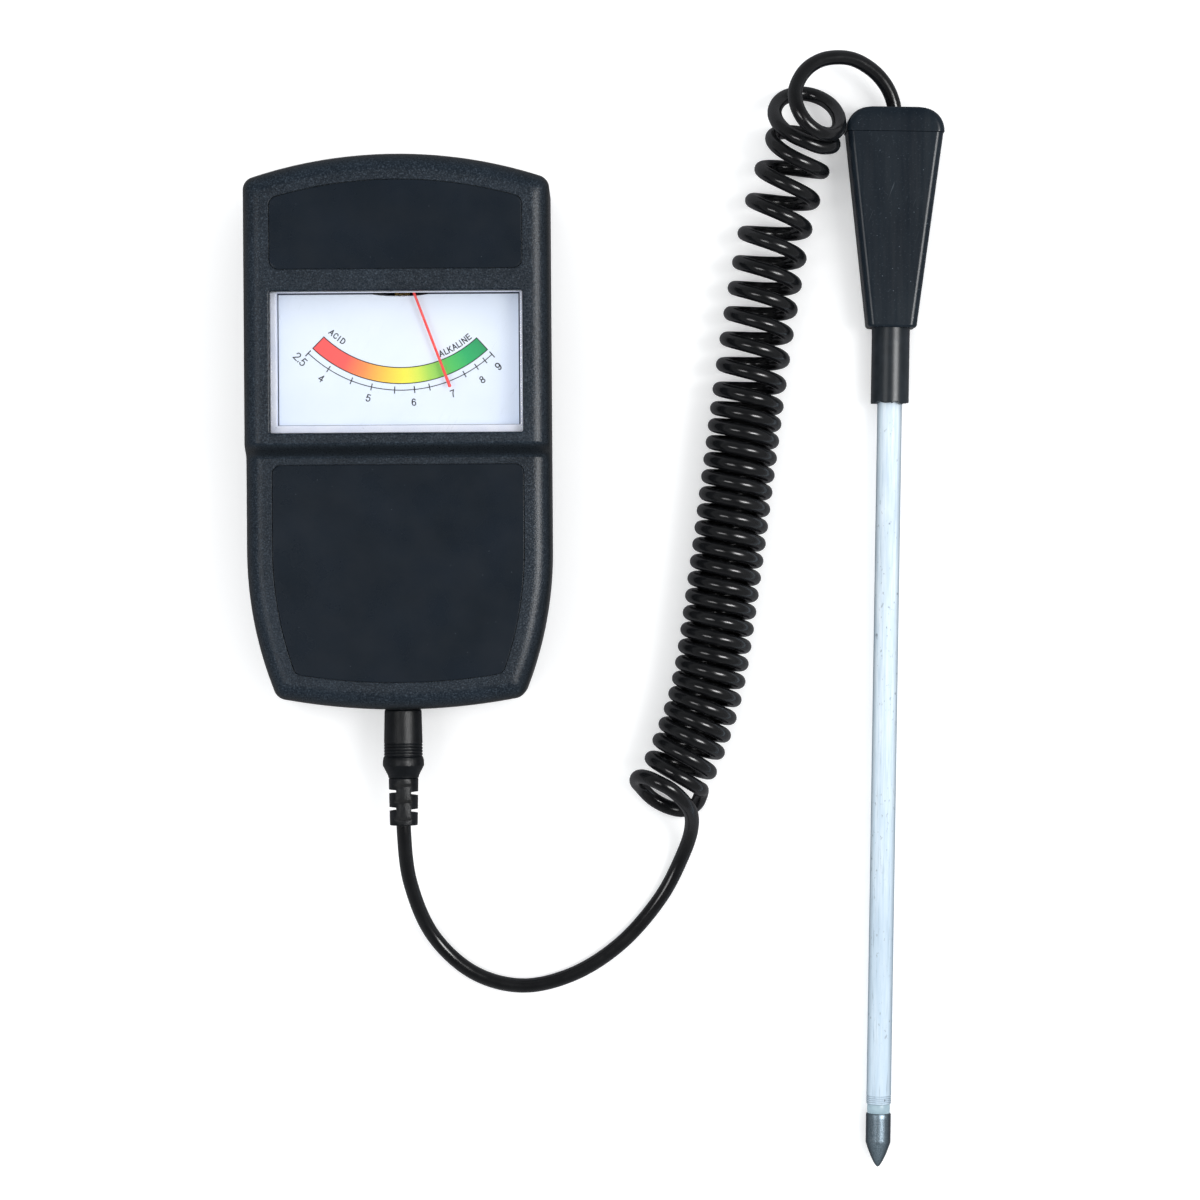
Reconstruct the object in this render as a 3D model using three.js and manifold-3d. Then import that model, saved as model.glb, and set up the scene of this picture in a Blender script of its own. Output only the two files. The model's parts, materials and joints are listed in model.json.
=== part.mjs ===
// Analogue soil pH meter: a hand-held moving-coil meter, a plug-in coiled cord and a long two-metal probe.
//
// Millimetres, +Z up. The origin is the centre of the case's flat back. The meter lies on its back with
// the dial facing up (+Z) and its top end towards +Y; the cord and the probe lie beside it, on z = 0.
import * as THREE from "three";
import { mergeVertices } from "three/addons/utils/BufferGeometryUtils.js";
import Module from "manifold-3d";

const wasm = await Module();
wasm.setup();

// ---------------------------------------------------------------- driving dimensions

const GAP = 0.05; // face-to-face clearance between pieces that touch
const BIG = 400; // longer than anything here, for cutting tools

const CASE = {
  halfWidth: 41.6,
  halfLength: 75.5,
  topRadius: 126.7,
  topCorner: 3.6,
  taperStart: -32, // y where the straight sides begin to curve inwards
  taperRadius: 105,
  bottomRadius: 174.5,
  bottomCorner: 3.8,
  smallestCorner: 2.4,
  splitZ: 14, // parting line between the two shells
  lowerTop: 31, // height of the lower face
  upperTop: 36, // height of the raised face around the dial
  stepTopY: -2.9, // y where the raised face starts to roll down
  stepFootY: -7.2, // y where it meets the lower face
  frontFillet: 5,
  backFillet: 3,
  wall: 2.4,
};
const LABEL = { border: 7.5, pocket: 0.5, thickness: 0.38, upperEndY: 44, lowerEndY: -8.9, corner: 2.4 };
const WINDOW = { halfWidth: 34.1, bottomY: -0.3, topY: 37.9 };
const LENS = { faceZ: 35.4, thickness: 1.8, flange: 2, flangeBottomZ: 32.1 };
const DIAL = { halfWidth: 36, bottomY: -2.2, topY: 57, topZ: 28, thickness: 0.8, notch: 12 };
const SURROUND = { side: 1.35, bottom: 2.1, outer: 1.6, topZ: 32 };
const SCREW_POSTS = [
  [-35, 61.5],
  [35, 61.5],
  [-30, -61.5],
  [30, -61.5],
];

const PIVOT = { x: 0.8, y: 48, restAngle: 20.6 }; // pointer angle from straight down, towards +X
const POINTER = { length: 38.3, width: 0.9, z: 29.9, thickness: 0.4 };
const CORE = { radius: 7.2, bottomZ: 12, topZ: 22.4 };
const YOKE = { inner: 10.9, outer: 14.2, bottomZ: 11.5, topZ: 23 };
const BASE = { halfWidth: 20, depth: 17, bottomZ: 5, topZ: 7.5 };
const COIL = { halfWidth: 9.9, bottomZ: 9.6, topZ: 24.8, winding: 1.25, former: 0.6, depth: 4.2 };
const HAIRSPRING = { turns: 4, innerRadius: 0.68, outerRadius: 5.2, height: 0.45, thickness: 0.14 };
const BRIDGE = { bottomZ: 31.6, topZ: 32.8, postX: 13.2, width: 6 };

const PLUG = { z: 14, faceY: -75.8, pinRadius: 1.75, pinLength: 14 };
const RELIEF = { radius: 4.1, startY: -94.8, endY: -108.4, bore: 2.3, slot: 1.05 };
const CORD_RADIUS = 2;

const PROBE = {
  topX: 137.39,
  topY: 89.9,
  topZ: 7.25,
  lean: 1.247, // degrees, seen from above
  dip: 0.74, // degrees, down towards the tip: the handle lies flat and the tip touches the ground
};
const HANDLE = {
  capHeight: 6.8,
  length: 60.9,
  capHalfWidth: 13.6,
  topHalfWidth: 13.3,
  bottomHalfWidth: 6.75,
  topHalfDepth: 7.2,
  bottomHalfDepth: 6.42,
  capCorner: 6.4,
  wall: 1.9,
};
const COLLAR = { radius: 5.28, length: 20.7 };
const TUBE = { radius: 3.42, bore: 2.6, endY: -277 };
const RING = { radius: 3.12, length: 2.7 };
const TIP = { radius: 3.46, cylinder: 8, length: 15 };

// ---------------------------------------------------------------- materials

const finish = (color, roughness, metalness = 0, more = {}) =>
  new THREE.MeshStandardMaterial({ color, roughness, metalness, ...more });

const CASE_PLASTIC = finish(0x262b30, 0.55);
const LABEL_FILM = finish(0x20262d, 0.42);
const CLEAR_PLASTIC = finish(0xf2f6ff, 0.05, 0, { transparent: true, opacity: 0.25 });
const WHITE_PLASTIC = finish(0xe4e8f5, 0.4);
const DIAL_WHITE = finish(0xf2f6fc, 0.6);
const POINTER_RED = finish(0xe8352f, 0.45);
const BLACK_PLASTIC = finish(0x17191b, 0.5);
const CORD_PVC = finish(0x101214, 0.28);
const HANDLE_PLASTIC = finish(0x1f252c, 0.35);
const COATED_TUBE = finish(0xdfe9f3, 0.4, 0.1);
const RING_PLASTIC = finish(0xc5dbe2, 0.35);
const TIP_METAL = finish(0x56626b, 0.35, 0.9);
const STEEL = finish(0x9a9d9f, 0.3, 1);
const BRASS = finish(0xb9974f, 0.3, 1);
const COPPER = finish(0xb06a3b, 0.35, 1);
const ALUMINIUM = finish(0xc4c7ca, 0.35, 1);
const MAGNET = finish(0x4b4d50, 0.4, 0.8);
const RED_WIRE = finish(0xb3241f, 0.4);
const GREEN_WIRE = finish(0x2c6b3a, 0.4);

// ---------------------------------------------------------------- solids and shapes

const degrees = THREE.MathUtils.degToRad;
const lerp = THREE.MathUtils.lerp;

/** A closed geometry as a manifold solid, for joining and cutting. */
function solid(geometry) {
  const flat = geometry.index ? geometry.toNonIndexed() : geometry;
  const bare = new THREE.BufferGeometry().setAttribute("position", flat.getAttribute("position"));
  const merged = mergeVertices(bare, 1e-4);
  return new wasm.Manifold(
    new wasm.Mesh({
      numProp: 3,
      vertProperties: merged.attributes.position.array,
      triVerts: new Uint32Array(merged.index.array),
    }),
  );
}

/** A manifold solid back as a geometry. */
function geometryOf(made) {
  const mesh = made.getMesh();
  const geometry = new THREE.BufferGeometry();
  geometry.setAttribute("position", new THREE.BufferAttribute(mesh.vertProperties, 3));
  geometry.setIndex(new THREE.BufferAttribute(mesh.triVerts, 1));
  return geometry;
}

const join = (...geometries) => geometryOf(geometries.map(solid).reduce((a, b) => a.add(b)));
const cut = (body, ...tools) => geometryOf(tools.map(solid).reduce((a, b) => a.subtract(b), solid(body)));
const common = (a, b) => geometryOf(solid(a).intersect(solid(b)));

/** A box given by its low and high corners. */
function box(x0, x1, y0, y1, z0, z1) {
  const geometry = new THREE.BoxGeometry(x1 - x0, y1 - y0, z1 - z0);
  return geometry.translate((x0 + x1) / 2, (y0 + y1) / 2, (z0 + z1) / 2);
}

/** A round bar standing along Z. */
function barZ(radius, z0, z1, x = 0, y = 0, sides = 16) {
  const geometry = new THREE.CylinderGeometry(radius, radius, z1 - z0, sides);
  return geometry.rotateX(Math.PI / 2).translate(x, y, (z0 + z1) / 2);
}

/** A round bar lying along Y. */
function barY(radius, y0, y1, x = 0, z = 0, sides = 16) {
  const geometry = new THREE.CylinderGeometry(radius, radius, y1 - y0, sides);
  return geometry.translate(x, (y0 + y1) / 2, z);
}

/** A solid of revolution about Z from [radius, z] pairs listed upwards, starting and ending on the axis. */
function turnedZ(profile, sides = 16) {
  const points = profile.map(([radius, z]) => new THREE.Vector2(radius, z));
  return new THREE.LatheGeometry(points, sides).rotateX(Math.PI / 2);
}

/** A solid of revolution about Y from [radius, y] pairs listed upwards, starting and ending on the axis. */
function turnedY(profile, sides = 24) {
  return new THREE.LatheGeometry(
    profile.map(([radius, y]) => new THREE.Vector2(radius, y)),
    sides,
  );
}

/** A flat outline raised from z0 to z1. */
function prism(points, z0, z1) {
  const shape = new THREE.Shape(points);
  return new THREE.ExtrudeGeometry(shape, { depth: z1 - z0, bevelEnabled: false }).translate(0, 0, z0);
}

/** An outline in the YZ plane, given as [y, z] pairs, drawn out along X over the full width. */
function sideProfile(pairs) {
  const shape = new THREE.Shape(pairs.map(([y, z]) => new THREE.Vector2(y, z)));
  const geometry = new THREE.ExtrudeGeometry(shape, { depth: BIG, bevelEnabled: false });
  // The shape's x, y and depth become y, z and x.
  geometry.applyMatrix4(new THREE.Matrix4().set(0, 0, 1, -BIG / 2, 1, 0, 0, 0, 0, 1, 0, 0, 0, 0, 0, 1));
  return geometry;
}

/** A solid skinned over rings of equal length, each a list of Vector3 seen anticlockwise from the far end. */
function loft(rings) {
  const count = rings[0].length;
  const positions = [];
  const triangle = (a, b, c) => positions.push(...a.toArray(), ...b.toArray(), ...c.toArray());
  const middle = (ring) => ring.reduce((sum, p) => sum.add(p), new THREE.Vector3()).divideScalar(count);
  for (let level = 0; level + 1 < rings.length; level++) {
    for (let i = 0; i < count; i++) {
      const next = (i + 1) % count;
      const [a, b] = [rings[level][i], rings[level][next]];
      const [c, d] = [rings[level + 1][i], rings[level + 1][next]];
      triangle(a, b, d);
      triangle(a, d, c);
    }
  }
  const [first, last] = [rings[0], rings.at(-1)];
  for (let i = 0; i < count; i++) {
    const next = (i + 1) % count;
    triangle(middle(first), first[next], first[i]);
    triangle(middle(last), last[i], last[next]);
  }
  return new THREE.BufferGeometry().setAttribute("position", new THREE.Float32BufferAttribute(positions, 3));
}

/** A round wire along a curve. */
function wire(curve, radius, steps, sides = 6) {
  const section = new THREE.Shape();
  for (let i = 0; i < sides; i++) {
    const angle = (2 * Math.PI * i) / sides;
    const [x, y] = [radius * Math.cos(angle), radius * Math.sin(angle)];
    if (i === 0) section.moveTo(x, y);
    else section.lineTo(x, y);
  }
  return new THREE.ExtrudeGeometry(section, { steps, bevelEnabled: false, extrudePath: curve });
}

/** Points on an arc, from one angle to another in radians. */
function arc(centreX, centreY, radius, from, to, segments) {
  return Array.from({ length: segments + 1 }, (_, i) => {
    const angle = lerp(from, to, i / segments);
    return new THREE.Vector2(centreX + radius * Math.cos(angle), centreY + radius * Math.sin(angle));
  });
}

/** Where two circles cross, taking the crossing on the right and below the line of centres. */
function crossing(a, radiusA, b, radiusB) {
  const along = b.clone().sub(a);
  const distance = along.length();
  const reach = (distance ** 2 + radiusA ** 2 - radiusB ** 2) / (2 * distance);
  const height = Math.sqrt(radiusA ** 2 - reach ** 2);
  along.normalize();
  const candidates = [1, -1].map((side) =>
    new THREE.Vector2(-along.y, along.x).multiplyScalar(side * height).addScaledVector(along, reach).add(a),
  );
  return candidates[0].y < candidates[1].y ? candidates[0] : candidates[1];
}

// ---------------------------------------------------------------- the case outline

/** The right half of the case outline moved inwards by inset, from the top centre to the bottom centre. */
function halfOutline(inset) {
  const halfWidth = CASE.halfWidth - inset;
  const topCentre = new THREE.Vector2(0, CASE.halfLength - CASE.topRadius);
  const sideCentre = new THREE.Vector2(CASE.halfWidth - CASE.taperRadius, CASE.taperStart);
  const bottomCentre = new THREE.Vector2(0, CASE.bottomRadius - CASE.halfLength);
  const topRadius = CASE.topRadius - inset;
  const sideRadius = CASE.taperRadius - inset;
  const bottomRadius = CASE.bottomRadius - inset;
  const topCorner = Math.max(CASE.topCorner - inset, CASE.smallestCorner);
  const bottomCorner = Math.max(CASE.bottomCorner - inset, CASE.smallestCorner);

  const topX = halfWidth - topCorner;
  const topY = topCentre.y + Math.sqrt((topRadius - topCorner) ** 2 - topX ** 2);
  const low = crossing(sideCentre, sideRadius - bottomCorner, bottomCentre, bottomRadius - bottomCorner);
  const topAngle = Math.atan2(topY - topCentre.y, topX);
  const sideAngle = Math.atan2(low.y - sideCentre.y, low.x - sideCentre.x);
  const bottomAngle = Math.atan2(low.y - bottomCentre.y, low.x);
  return [
    ...arc(0, topCentre.y, topRadius, Math.PI / 2, topAngle, 6),
    ...arc(topX, topY, topCorner, topAngle, 0, 4).slice(1),
    ...arc(sideCentre.x, sideCentre.y, sideRadius, 0, sideAngle, 6),
    ...arc(low.x, low.y, bottomCorner, sideAngle, bottomAngle, 4).slice(1),
    ...arc(0, bottomCentre.y, bottomRadius, bottomAngle, -Math.PI / 2, 4).slice(1),
  ];
}

/** A right half closed with its mirror image, anticlockwise seen from above. */
function mirrored(half) {
  const left = half
    .filter((p) => p.x > 1e-6)
    .map((p) => new THREE.Vector2(-p.x, p.y));
  return [...left, ...[...half].reverse()];
}

const outline = (inset) => mirrored(halfOutline(inset));
const ring = (inset, z) => outline(inset).map((p) => new THREE.Vector3(p.x, p.y, z));

/** The part of an inset outline above or below one straight edge, with that edge's corners rounded. */
function labelOutline(inset, edgeY, isUpper) {
  const corner = LABEL.corner - (inset - LABEL.border);
  const half = halfOutline(inset);
  const cornerX = CASE.halfWidth - inset - corner;
  if (isUpper) {
    const rounded = arc(cornerX, edgeY + corner, corner, 0, -Math.PI / 2, 4);
    return mirrored([...half.filter((p) => p.y > edgeY + corner), ...rounded]);
  }
  const rounded = arc(cornerX, edgeY - corner, corner, Math.PI / 2, 0, 4);
  return mirrored([...rounded, ...half.filter((p) => p.y < edgeY - corner)]);
}

const upperLabelOutline = (extra) => labelOutline(LABEL.border - extra, LABEL.upperEndY - extra, true);
const lowerLabelOutline = (extra) => labelOutline(LABEL.border - extra, LABEL.lowerEndY + extra, false);

// ---------------------------------------------------------------- case

/** The block of the case up to a given height, its upper edge rolled over. */
function rolledBlock(bottomZ, topZ, fillet) {
  const levels = [0, 1, 2, 3, 4].map((i) => degrees(90 * (i / 4)));
  const rolled = levels.map((a) => ring(fillet * (1 - Math.cos(a)), topZ - fillet * (1 - Math.sin(a))));
  return loft([ring(0, bottomZ), ...rolled]);
}

/** Everything on the raised side of the step between the lower face and the raised face. */
function raisedSide(inwards = 0) {
  const rise = CASE.upperTop - CASE.lowerTop;
  const roll = CASE.stepTopY - CASE.stepFootY;
  const steps = [0, 0.25, 0.5, 0.75, 1];
  // The drop follows half a cosine wave, so it rolls over at the top and blends in at the foot.
  const wave = steps.map((t) => [
    CASE.stepTopY + inwards - roll * t,
    CASE.upperTop - rise * (1 - Math.cos(Math.PI * t)) * 0.5,
  ]);
  return sideProfile([[BIG / 2, 0], [BIG / 2, BIG / 2], [CASE.stepTopY + inwards, BIG / 2], ...wave,
    [CASE.stepFootY + inwards, 0]]);
}

function frontCase() {
  const low = rolledBlock(CASE.splitZ, CASE.lowerTop, CASE.frontFillet);
  const tall = common(rolledBlock(CASE.splitZ, CASE.upperTop, CASE.frontFillet), raisedSide());
  const inner = outline(CASE.wall);
  const lowCavity = prism(inner, CASE.splitZ - 1, CASE.lowerTop - CASE.wall);
  const tallCavity = common(prism(inner, CASE.splitZ - 1, CASE.upperTop - CASE.wall), raisedSide(CASE.wall));
  const shell = cut(join(low, tall), lowCavity, tallCavity);

  const posts = SCREW_POSTS.map(([x, y]) =>
    barZ(3.6, CASE.splitZ, (y > 0 ? CASE.upperTop : CASE.lowerTop) - CASE.wall + 0.5, x, y),
  );
  const pilots = SCREW_POSTS.map(([x, y]) => barZ(1.7, CASE.splitZ - 1, CASE.splitZ + 10, x, y, 12));
  const opening = box(-WINDOW.halfWidth, WINDOW.halfWidth, WINDOW.bottomY, WINDOW.topY, 20, 40);
  const upperPocket = prism(upperLabelOutline(0.15), CASE.upperTop - LABEL.pocket, CASE.upperTop + 1);
  const lowerPocket = prism(lowerLabelOutline(0.15), CASE.lowerTop - LABEL.pocket, CASE.lowerTop + 1);
  const socketHole = barY(3.2, -BIG / 4, -CASE.halfLength + 8, 0, PLUG.z);
  return cut(join(shell, ...posts), ...pilots, opening, upperPocket, lowerPocket, socketHole);
}

function rearCase() {
  const levels = [0, 1, 2, 3].map((i) => degrees(90 * (i / 3)));
  const rolled = levels.map((a) => ring(CASE.backFillet * (1 - Math.sin(a)), CASE.backFillet * (1 - Math.cos(a))));
  const block = loft([...rolled, ring(0, CASE.splitZ - GAP)]);
  const cavity = prism(outline(CASE.wall), CASE.wall, CASE.splitZ + 1);
  const posts = SCREW_POSTS.map(([x, y]) => barZ(4.4, CASE.wall - 0.5, CASE.splitZ - GAP, x, y));
  const basePosts = [-1, 1].map((side) => barZ(3, CASE.wall - 0.5, BASE.bottomZ - GAP, PIVOT.x + side * 16.5, 36, 12));
  const counterbores = SCREW_POSTS.map(([x, y]) => barZ(3.3, -1, 4, x, y));
  const holes = SCREW_POSTS.map(([x, y]) => barZ(1.8, -1, CASE.splitZ + 1, x, y, 12));
  const baseHoles = [-1, 1].map((side) => barZ(1.1, CASE.wall - 0.4, 20, PIVOT.x + side * 16.5, 36, 8));
  const socketHole = barY(3.2, -BIG / 4, -CASE.halfLength + 8, 0, PLUG.z);
  return cut(join(cut(block, cavity), ...posts, ...basePosts), ...counterbores, ...holes, ...baseHoles, socketHole);
}

/** A cross-head screw seen from below: its head is down, in the counterbore of the rear case. */
function caseScrew(x, y) {
  const headBottom = 1.3;
  const headTop = 4 - GAP;
  const body = join(barZ(2.9, headBottom, headTop, x, y), barZ(1.45, headTop - 0.2, 20, x, y, 12));
  const crossA = box(x - 1.7, x + 1.7, y - 0.35, y + 0.35, headBottom - 1, headBottom + 1.2);
  const crossB = box(x - 0.35, x + 0.35, y - 1.7, y + 1.7, headBottom - 1, headBottom + 1.2);
  return cut(body, crossA, crossB);
}

/** A small slotted screw with its head up. */
function smallScrew(x, y, seatZ, tipZ, headRadius = 1.9, shankRadius = 0.95) {
  const body = join(barZ(headRadius, seatZ, seatZ + 1.1, x, y, 12), barZ(shankRadius, tipZ, seatZ + 0.2, x, y, 8));
  return cut(body, box(x - 2 * headRadius, x + 2 * headRadius, y - 0.3, y + 0.3, seatZ + 0.6, seatZ + 2));
}

// ---------------------------------------------------------------- dial and window

function windowLens() {
  const { halfWidth, bottomY, topY } = WINDOW;
  const play = 0.12;
  const face = box(-halfWidth + play, halfWidth - play, bottomY + play, topY - play, LENS.flangeBottomZ, LENS.faceZ);
  const flangeTop = CASE.upperTop - CASE.wall - GAP;
  const flange = box(
    -halfWidth - LENS.flange,
    halfWidth + LENS.flange,
    bottomY - 1.6,
    topY + LENS.flange,
    LENS.flangeBottomZ,
    flangeTop,
  );
  const hollow = box(
    -halfWidth + 1.2,
    halfWidth - 1.2,
    bottomY + 1.2,
    topY - 1.2,
    LENS.flangeBottomZ - 1,
    LENS.faceZ - LENS.thickness,
  );
  return cut(join(face, flange), hollow);
}

/** White moulding round three sides of the dial. Its top side is open, where the pointer comes in. */
function dialSurround() {
  const { halfWidth, bottomY, topY } = WINDOW;
  const low = DIAL.topZ + GAP;
  const outer = box(-halfWidth - SURROUND.outer, halfWidth + SURROUND.outer, bottomY - 1.5, topY + 1.5, low, SURROUND.topZ);
  const inner = box(-halfWidth + SURROUND.side, halfWidth - SURROUND.side, bottomY + SURROUND.bottom, topY + 3, 20, 40);
  return cut(outer, inner);
}

function dialPlate() {
  const plate = box(-DIAL.halfWidth, DIAL.halfWidth, DIAL.bottomY, DIAL.topY, DIAL.topZ - DIAL.thickness, DIAL.topZ);
  const notch = barZ(DIAL.notch, 20, 40, PIVOT.x, PIVOT.y, 32);
  const slot = box(PIVOT.x - 17, PIVOT.x + 17, PIVOT.y - 4, BIG / 4, 20, 40);
  const holes = [-1, 1].map((side) => barZ(1.2, 20, 40, PIVOT.x + side * 21, 53, 12));
  return cut(plate, notch, slot, ...holes);
}

// ---------------------------------------------------------------- moving-coil movement

/** The moulded base: a plate with two dial pillars, a hub for the lower jewel and a seat for the yoke. */
function movementBase() {
  const { x, y } = PIVOT;
  const plate = box(x - BASE.halfWidth, x + BASE.halfWidth, y - BASE.depth, y + 13, BASE.bottomZ, BASE.topZ);
  const pillarTop = DIAL.topZ - DIAL.thickness - GAP;
  const pillars = [-1, 1].map((side) => barZ(2.8, BASE.bottomZ, pillarTop, x + side * 21, 53, 12));
  const seat = cut(barZ(14, BASE.topZ - 0.2, YOKE.bottomZ - GAP, x, y, 24), barZ(11.2, 0, 40, x, y, 24));
  const stud = barZ(0.6, BASE.topZ - 0.2, 9.1, x, y - HAIRSPRING.outerRadius - 0.8, 8);
  const jewelHole = barZ(1.9, 0, 20, x, y, 12);
  const screwHoles = [-1, 1].map((side) => barZ(1.15, 0, 20, x + side * 16.5, 36, 8));
  const dialHoles = [-1, 1].map((side) => barZ(1.05, 20, 40, x + side * 21, 53, 8));
  return cut(join(plate, ...pillars, seat, stud), jewelHole, ...screwHoles, ...dialHoles);
}

function yokeRing() {
  const { x, y } = PIVOT;
  const body = barZ(YOKE.outer, YOKE.bottomZ, YOKE.topZ, x, y, 32);
  return cut(body, barZ(YOKE.inner, 0, 40, x, y, 32));
}

/** Brass band round the core with an arm each way to the yoke, clear of the coil's sweep. */
function coreBracket() {
  const { x, y } = PIVOT;
  const band = cut(barZ(CORE.radius + 0.55, 16, 18, x, y, 24), barZ(CORE.radius + GAP, 10, 30, x, y, 24));
  const arm = (from, to) => box(x - 2, x + 2, y + from, y + to, 16, 18);
  const reach = YOKE.inner - 0.2;
  return join(band, arm(CORE.radius + 0.3, reach), arm(-reach, -CORE.radius - 0.3));
}

function bearingBridge() {
  const { x, y } = PIVOT;
  const half = BRIDGE.width / 2;
  const bar = box(x - BRIDGE.postX - 1.4, x + BRIDGE.postX + 1.4, y - half, y + half, BRIDGE.bottomZ, BRIDGE.topZ);
  const posts = [-1, 1].map((side) => {
    const centre = x + side * BRIDGE.postX;
    return box(centre - 1.4, centre + 1.4, y - half, y + half, YOKE.topZ + GAP, BRIDGE.topZ);
  });
  return cut(join(bar, ...posts), barZ(1.75, 30, 40, x, y, 12));
}

/** A screw whose inner end holds the cupped jewel that a pivot runs in. The cup faces +Z when up is true. */
function jewelScrew(z0, z1, up) {
  const cup = 0.9;
  const profile = [[0, 0], [1.6, 0], [1.6, z1 - z0], [0.75, z1 - z0], [0, z1 - z0 - cup]];
  const body = turnedZ(profile, 12);
  if (!up) body.rotateX(Math.PI);
  return body.translate(PIVOT.x, PIVOT.y, up ? z0 : z1);
}

/** A flat spiral hairspring round the pivot axis, from the collet out to a fixed end at the given angle. */
function hairspring(z, endAngle) {
  const { turns, innerRadius, outerRadius, height, thickness } = HAIRSPRING;
  const steps = turns * 14;
  const at = (t, offset) => {
    const angle = endAngle + 2 * Math.PI * turns * (t - 1);
    const radius = lerp(innerRadius, outerRadius, t) + offset;
    return new THREE.Vector2(radius * Math.cos(angle), radius * Math.sin(angle));
  };
  const fractions = Array.from({ length: steps + 1 }, (_, i) => i / steps);
  const inside = fractions.map((t) => at(t, -thickness / 2));
  const outside = fractions.map((t) => at(t, thickness / 2)).reverse();
  return prism([...inside, ...outside], z, z + height);
}

/** A rectangular loop in the XZ plane, centred on the pivot axis, used for the coil and its former. */
function coilLoop(halfWidth, bottomZ, topZ, thickness, depth) {
  const outer = box(-halfWidth, halfWidth, -depth / 2, depth / 2, bottomZ, topZ);
  const inner = box(-halfWidth + thickness, halfWidth - thickness, -depth, depth, bottomZ + thickness, topZ - thickness);
  return cut(outer, inner);
}

function pointerNeedle() {
  const { length, width, z, thickness } = POINTER;
  const half = width / 2;
  const shape = [
    [-half, -2.1],
    [-half, -length + 1],
    [-half * 0.7, -length],
    [half * 0.7, -length],
    [half, -length + 1],
    [half, -2.1],
  ].map(([px, py]) => new THREE.Vector2(px, py));
  return prism(shape, z, z + thickness);
}

/** Hub with a tail and two side arms that carry the balance weights. */
function balanceCross() {
  const z0 = POINTER.z;
  const z1 = z0 + POINTER.thickness;
  const hub = barZ(2, z0 - 0.7, z0 + 0.8, 0, 0, 16);
  const tail = box(-0.5, 0.5, 0, 7, z0, z1);
  const arms = box(-5.5, 5.5, -0.4, 0.4, z0, z1);
  const weights = [
    barZ(1, z0 - 0.5, z1 + 0.5, 0, 6.6, 10),
    barZ(0.8, z0 - 0.4, z1 + 0.4, -5.2, 0, 10),
    barZ(0.8, z0 - 0.4, z1 + 0.4, 5.2, 0, 10),
  ];
  return cut(join(hub, tail, arms, ...weights), barZ(0.62, 20, 40, 0, 0, 10));
}

/** Lever that turns the outer end of the upper hairspring, to set the pointer's resting place. */
function zeroAdjuster() {
  const z0 = 31;
  const z1 = 31.5;
  const collet = cut(barZ(3.4, z0, z1, 0, 0, 16), barZ(1.9, 20, 40, 0, 0, 16));
  const arm = box(-0.8, 0.8, 3, 9.4, z0, z1);
  const finger = box(-0.8, 0.8, 8.6, 9.4, 26, z1);
  const inward = box(-0.5, 0.5, HAIRSPRING.outerRadius + 0.15, 9, 26, 26.5);
  return join(collet, arm, finger, inward);
}

// ---------------------------------------------------------------- jack socket, plug and wiring

const SOCKET = { halfWidth: 5, halfHeight: 4.6, frontY: -72.6, backY: -58.5 };

function socketBody() {
  const { halfWidth, halfHeight, frontY, backY } = SOCKET;
  const block = box(-halfWidth, halfWidth, frontY, backY, PLUG.z - halfHeight, PLUG.z + halfHeight);
  const nose = barY(3, -CASE.halfLength + 0.2, frontY + 1, 0, PLUG.z);
  const bore = barY(PLUG.pinRadius + 0.25, -BIG / 4, backY - 1.2, 0, PLUG.z, 16);
  const sideSlot = box(halfWidth - 1.6, halfWidth + 1, frontY + 3, backY + 1, PLUG.z - 1.4, PLUG.z + 1.4);
  return cut(join(block, nose), bore, sideSlot);
}

/** A bent spring leaf lying in the socket's side slot, with its solder lug behind. */
function tipContact() {
  const leaf = box(SOCKET.halfWidth - 1, SOCKET.halfWidth - 0.6, SOCKET.frontY + 4, SOCKET.backY + 4, 12.9, 15.1);
  const lug = box(SOCKET.halfWidth - 1, SOCKET.halfWidth + 0.6, SOCKET.backY + 3.5, SOCKET.backY + 4, 12.9, 15.1);
  return join(leaf, lug);
}

function sleeveLug() {
  return box(-SOCKET.halfWidth + 0.6, -SOCKET.halfWidth + 1.1, SOCKET.backY + GAP, SOCKET.backY + 4, 12.9, 15.1);
}

function plugBody() {
  const top = PLUG.faceY;
  const groove = (y) => [[5.55, y + 0.45], [5.25, y + 0.25], [5.25, y - 0.25], [5.6, y - 0.45]];
  const grooves = [-86, -87.7, -89.4].flatMap(groove);
  const upwards = [
    [0, RELIEF.startY + GAP],
    [4.15, RELIEF.startY + GAP],
    [4.3, -94],
    [5.7, -91.6],
    [5.7, -90.4],
    ...grooves.reverse(),
    [5.35, -84],
    [5.25, top - 0.5],
    [4.9, top],
    [0, top],
  ];
  const body = turnedY(upwards).translate(0, 0, PLUG.z);
  const cordHole = barY(RELIEF.bore, -BIG / 2, RELIEF.startY + 6, 0, PLUG.z, 12);
  const pinHole = barY(PLUG.pinRadius + 0.1, top - 4, top + 1, 0, PLUG.z, 12);
  return cut(body, cordHole, pinHole);
}

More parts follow.
